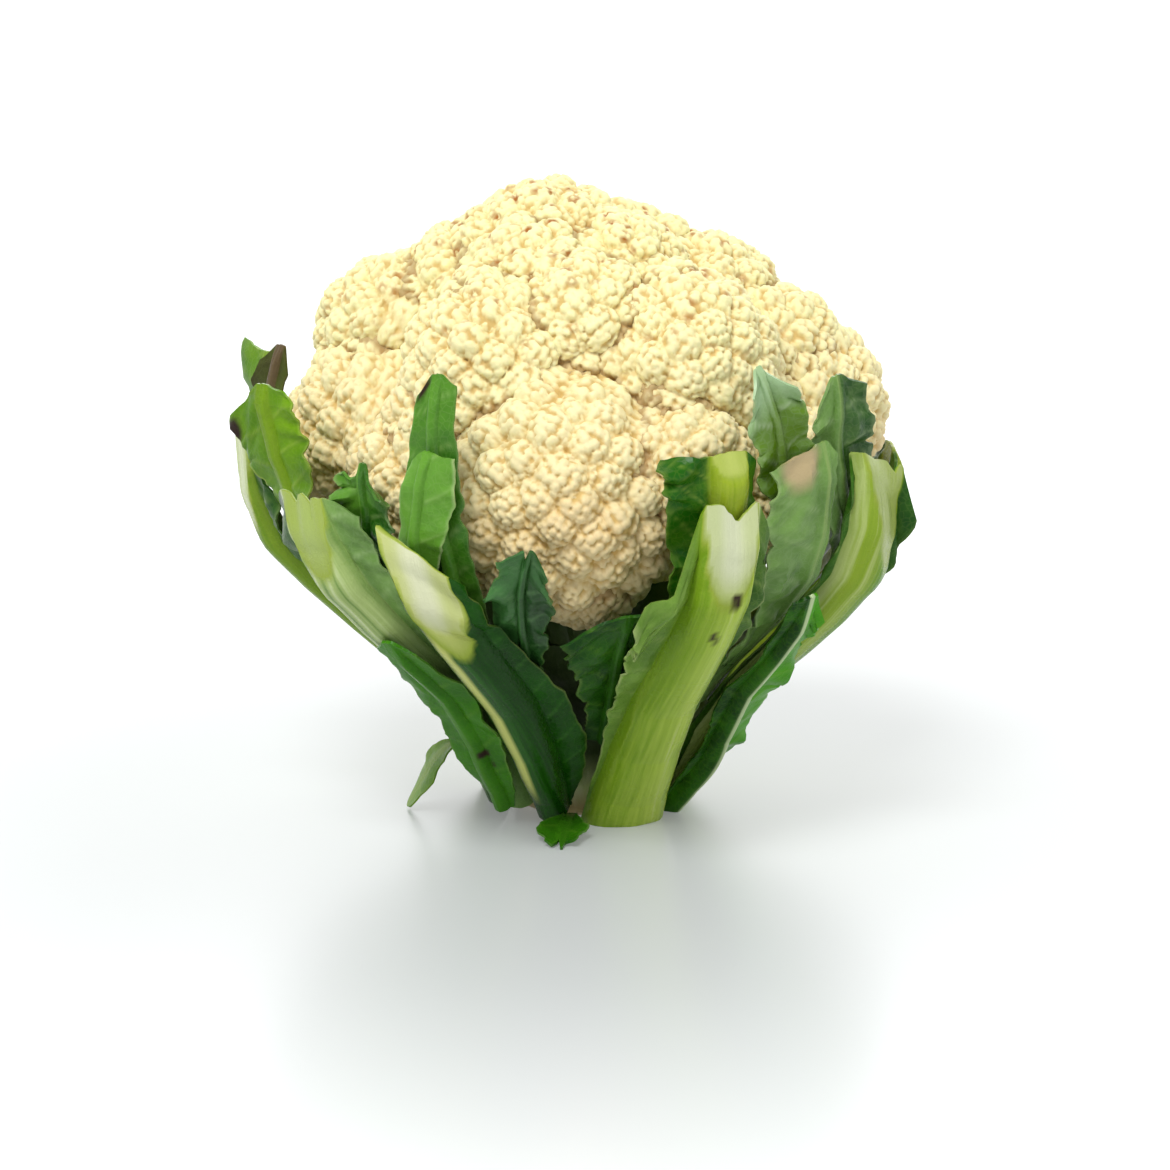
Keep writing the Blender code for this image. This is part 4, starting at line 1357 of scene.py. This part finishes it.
    def build_core(self, cream: bpy.types.Material) -> None:
        """Makes the knobbly heart of the curd, which fills the gaps between the florets.

        Args:
            cream: The curd's material.
        """
        obj = start_with(bpy.ops.mesh.primitive_ico_sphere_add, subdivisions=6, radius=1.0)
        rays = unit(read_points(obj))
        reach = 1 / np.sqrt(((rays / np.array(self.core)) ** 2).sum(1))
        down = np.minimum(rays[:, 2], -1e-6)
        floor = np.where(rays[:, 2] < 0, (self.core_floor - self.centre[2]) / down, np.inf)
        reach = np.minimum(reach, floor)
        knobs = self.bumps(rays, self.core[0], self.core_spacing, np.random.default_rng(7))
        reach = reach - self.core_relief * (1 - knobs)
        points = np.array(self.centre) + rays * reach[:, None]
        write_points(obj, points * MM)
        # The heart shows only in the gaps between florets, so all of it is painted crease shade,
        # with darker seam shade higher up
        write_attribute(obj, "crease", np.full(len(rays), 0.9))
        write_attribute(obj, "seam_shade", 0.1 + 0.7 * smooth_step(85.0, 105.0, points[:, 2]))
        settle(obj, "curd_heart", "curd", cream, 180.0)


@dataclass
class Stalk:
    """The cut stalk, with leaf scars, and the branches that carry the florets."""

    profile: tuple = ((0, 19.5), (1.5, 21.5), (14, 22.5), (30, 27), (43, 36), (57.7, 47))
    sides: int = 96
    rings: int = 60
    flute: float = 1.1
    flutes: int = 11
    branch_root: float = 9.0
    branch_ring: float = 34.0
    branch_share: float = 0.5
    fork_height: float = 57.0
    crown_height: float = 130.0  # the florets above it have no branch that could show
    foot_ring: float = -0.97  # the lowest ring above the foot, from -1 there to 1 at the top

    def build(self, florets: tuple) -> None:
        """Builds the stalk and the branches.

        Args:
            florets: The middles and radii of the florets that the branches reach.
        """
        flesh = StalkFinish("stalk_flesh").build()
        self.build_stalk(flesh)
        self.build_branches(florets, flesh)

    def build_stalk(self, flesh: bpy.types.Material) -> None:
        """Shapes a cylinder by the stalk's profile, with flutes that spiral up it.

        Args:
            flesh: The stalk's material.
        """
        height = self.profile[-1][0]
        obj = start_with(bpy.ops.mesh.primitive_cylinder_add, vertices=self.sides, radius=1.0,
                         depth=2.0, end_fill_type="NGON")
        with edit_mode():
            for ring in range(self.rings):
                level = self.foot_ring + (1 - self.foot_ring) * ring / self.rings
                bpy.ops.mesh.select_all(action="SELECT")
                bpy.ops.mesh.bisect(plane_co=(0, 0, level), plane_no=(0, 0, 1))
        points = read_points(obj)
        turn = np.arctan2(points[:, 1], points[:, 0])
        z = (points[:, 2] + 1) / 2 * height
        heights, radii = zip(*self.profile)
        radius = np.interp(z, heights, radii)
        wave = 0.5 - 0.5 * np.cos(self.flutes * (turn + z / 40))
        scar = 0.5 + 0.5 * np.cos(z / 2.6 + 3 * np.sin(3 * turn))
        radius = radius - (self.flute * wave + 0.5 * scar**4) * smooth_step(0.5, 6.0, z)
        write_points(obj, np.stack(
            [radius * np.cos(turn), radius * np.sin(turn), z], axis=1) * MM)
        settle(obj, "fine_stalk", "stalk", flesh, 50.0)

    def build_branches(self, florets: tuple, flesh: bpy.types.Material) -> None:
        """Runs a tapered branch from the top of the stalk into each lower floret.

        Args:
            florets: The middles and radii of the florets.
            flesh: The stalk's material.
        """
        parts = []
        for x, y, z, size in florets:
            if z > self.crown_height:
                continue
            foot = Vector((x, y, 0)).normalized() * self.branch_ring
            foot.z = self.fork_height
            head = Vector((x, y, z))
            span = head - foot
            parts.append(start_with(
                bpy.ops.mesh.primitive_cone_add, vertices=24, radius1=self.branch_root * MM,
                radius2=size * self.branch_share * MM, depth=span.length * MM,
                location=(foot + head) / 2 * MM,
                rotation=span.to_track_quat("Z", "Y").to_euler()))
        select_only(*parts)
        bpy.ops.object.join()
        bpy.ops.object.transform_apply(location=True, rotation=True, scale=True)
        obj = bpy.context.active_object
        with edit_mode():
            bpy.ops.mesh.subdivide(number_cuts=3)
        points = read_points(obj) / MM
        swell = wander(points, 9.0, 5.0)
        axis = points * np.array([1.0, 1.0, 0.0])
        axis /= np.maximum(np.linalg.norm(axis, axis=1, keepdims=True), 1e-6)
        write_points(obj, (points + axis * swell[:, None] * 0.9) * MM)
        # The branches share the stalk's finish, so they are painted in its dark green shade
        settle(obj, "curd_branches", "curd", flesh, 60.0)


@dataclass
class Studio:
    """A glossy white table under soft light, in front of a white wall; its own glow is painted
    light, dimmer near the head as a painted shadow.
    """

    floor_size: float = 30.0
    table: str = "#B4B8B8"
    # painted light and shadow: the table's own glow near the head and far from it
    painted_shadow_glow: float = 0.16
    painted_light_glow: float = 0.5
    wall: float = 1.6
    room: float = 0.5
    key: tuple = ((-0.3, -0.75, 1.2), 0.5, 13.4)
    fill: tuple = ((0.95, -0.75, 0.6), 0.9, 1.5)
    back: tuple = ((0.1, 0.9, 0.8), 0.8, 4.0)
    lit_height: float = 0.09
    glow_span: tuple = (0.12, 0.42)
    wall_height: tuple = (0.7, 0.4)
    wall_breadth: tuple = (-0.2, 0.6)

    def build(self) -> None:
        """Lays the table, then sets the sky and three soft lights."""
        floor = start_with(bpy.ops.mesh.primitive_plane_add, size=self.floor_size)
        floor.name = "table"
        paint = Paint("table_gloss_painted_glow")
        place = paint.add("ShaderNodeTexCoord").outputs["Object"]
        away = paint.add("ShaderNodeVectorMath", {0: place}, operation="LENGTH").outputs["Value"]
        # Painted light and shadow: the table glows by emission, less near the head, which paints a
        # shadow round its foot
        glow = paint.add("ShaderNodeMapRange", {
            "Value": away, "From Min": self.glow_span[0], "From Max": self.glow_span[1],
            "To Min": self.painted_shadow_glow, "To Max": self.painted_light_glow},
            interpolation_type="SMOOTHSTEP").outputs["Result"]
        paint.feed(paint.shader, {
            "Base Color": linear(self.table), "Roughness": 0.3, "IOR": 1.5,
            "Emission Color": WHITE, "Emission Strength": glow})
        floor.data.materials.append(paint.material)
        self.build_sky()
        for name, (place, size, power) in (
                ("key", self.key), ("fill", self.fill), ("back", self.back)):
            lamp = start_with(bpy.ops.object.light_add, type="AREA", location=place)
            lamp.name = name
            lamp.data.size = size
            lamp.data.energy = power
            aim = Vector((0, 0, self.lit_height)) - Vector(place)
            lamp.rotation_euler = aim.to_track_quat("-Z", "Y").to_euler()

    def build_sky(self) -> None:
        """Sets a white wall low behind the table, and a dimmer room all round it."""
        world = bpy.data.worlds.new("sky")
        world.use_nodes = True
        sky = Wiring(world.node_tree)
        look = sky.add("ShaderNodeTexCoord").outputs["Generated"]
        axes = sky.add("ShaderNodeSeparateXYZ", {0: look}).outputs
        low, behind = (
            sky.add("ShaderNodeMapRange", {
                "Value": axes[axis], "From Min": span[0], "From Max": span[1]}).outputs["Result"]
            for axis, span in (("Z", self.wall_height), ("Y", self.wall_breadth)))
        wall = sky.add("ShaderNodeMath", {0: low, 1: behind}, operation="MULTIPLY").outputs[0]
        light = sky.add("ShaderNodeMath", {
            0: wall, 1: self.wall - self.room, 2: self.room},
            operation="MULTIPLY_ADD").outputs[0]
        sky.feed(sky.tree.nodes["Background"], {"Color": WHITE, "Strength": light})
        bpy.context.scene.world = world


@dataclass
class Viewpoint:
    """The photograph's camera, square on to the front and a little above."""

    elevation: float = 12.0
    distance: float = 1.0
    aim_height: float = 0.066
    pixel: float = 0.0003
    pixels: int = 1170
    sensor: float = 36.0

    def build(self) -> None:
        """Places the camera so that one pixel at the middle of the head is 0.3 mm."""
        tilt = math.radians(self.elevation)
        aim = Vector((0, 0, self.aim_height))
        place = aim + Vector((0, -math.cos(tilt), math.sin(tilt))) * self.distance
        camera = start_with(bpy.ops.object.camera_add, location=place)
        camera.rotation_euler = (aim - place).to_track_quat("-Z", "Y").to_euler()
        camera.data.lens = self.sensor * self.distance / (self.pixel * self.pixels)
        camera.data.sensor_width = self.sensor
        bpy.context.scene.camera = camera


def main() -> None:
    """Builds the camera, the table and light, and then the head from the inside out."""
    logging.basicConfig(level=logging.INFO, format="%(name)s %(message)s")
    bpy.context.scene.view_settings.view_transform = "Standard"
    Viewpoint().build()
    Studio().build()
    curd = Curd()
    Stalk().build(curd.florets)
    curd.build()
    LeafBasket().build()


if __name__ == "__main__":
    main()
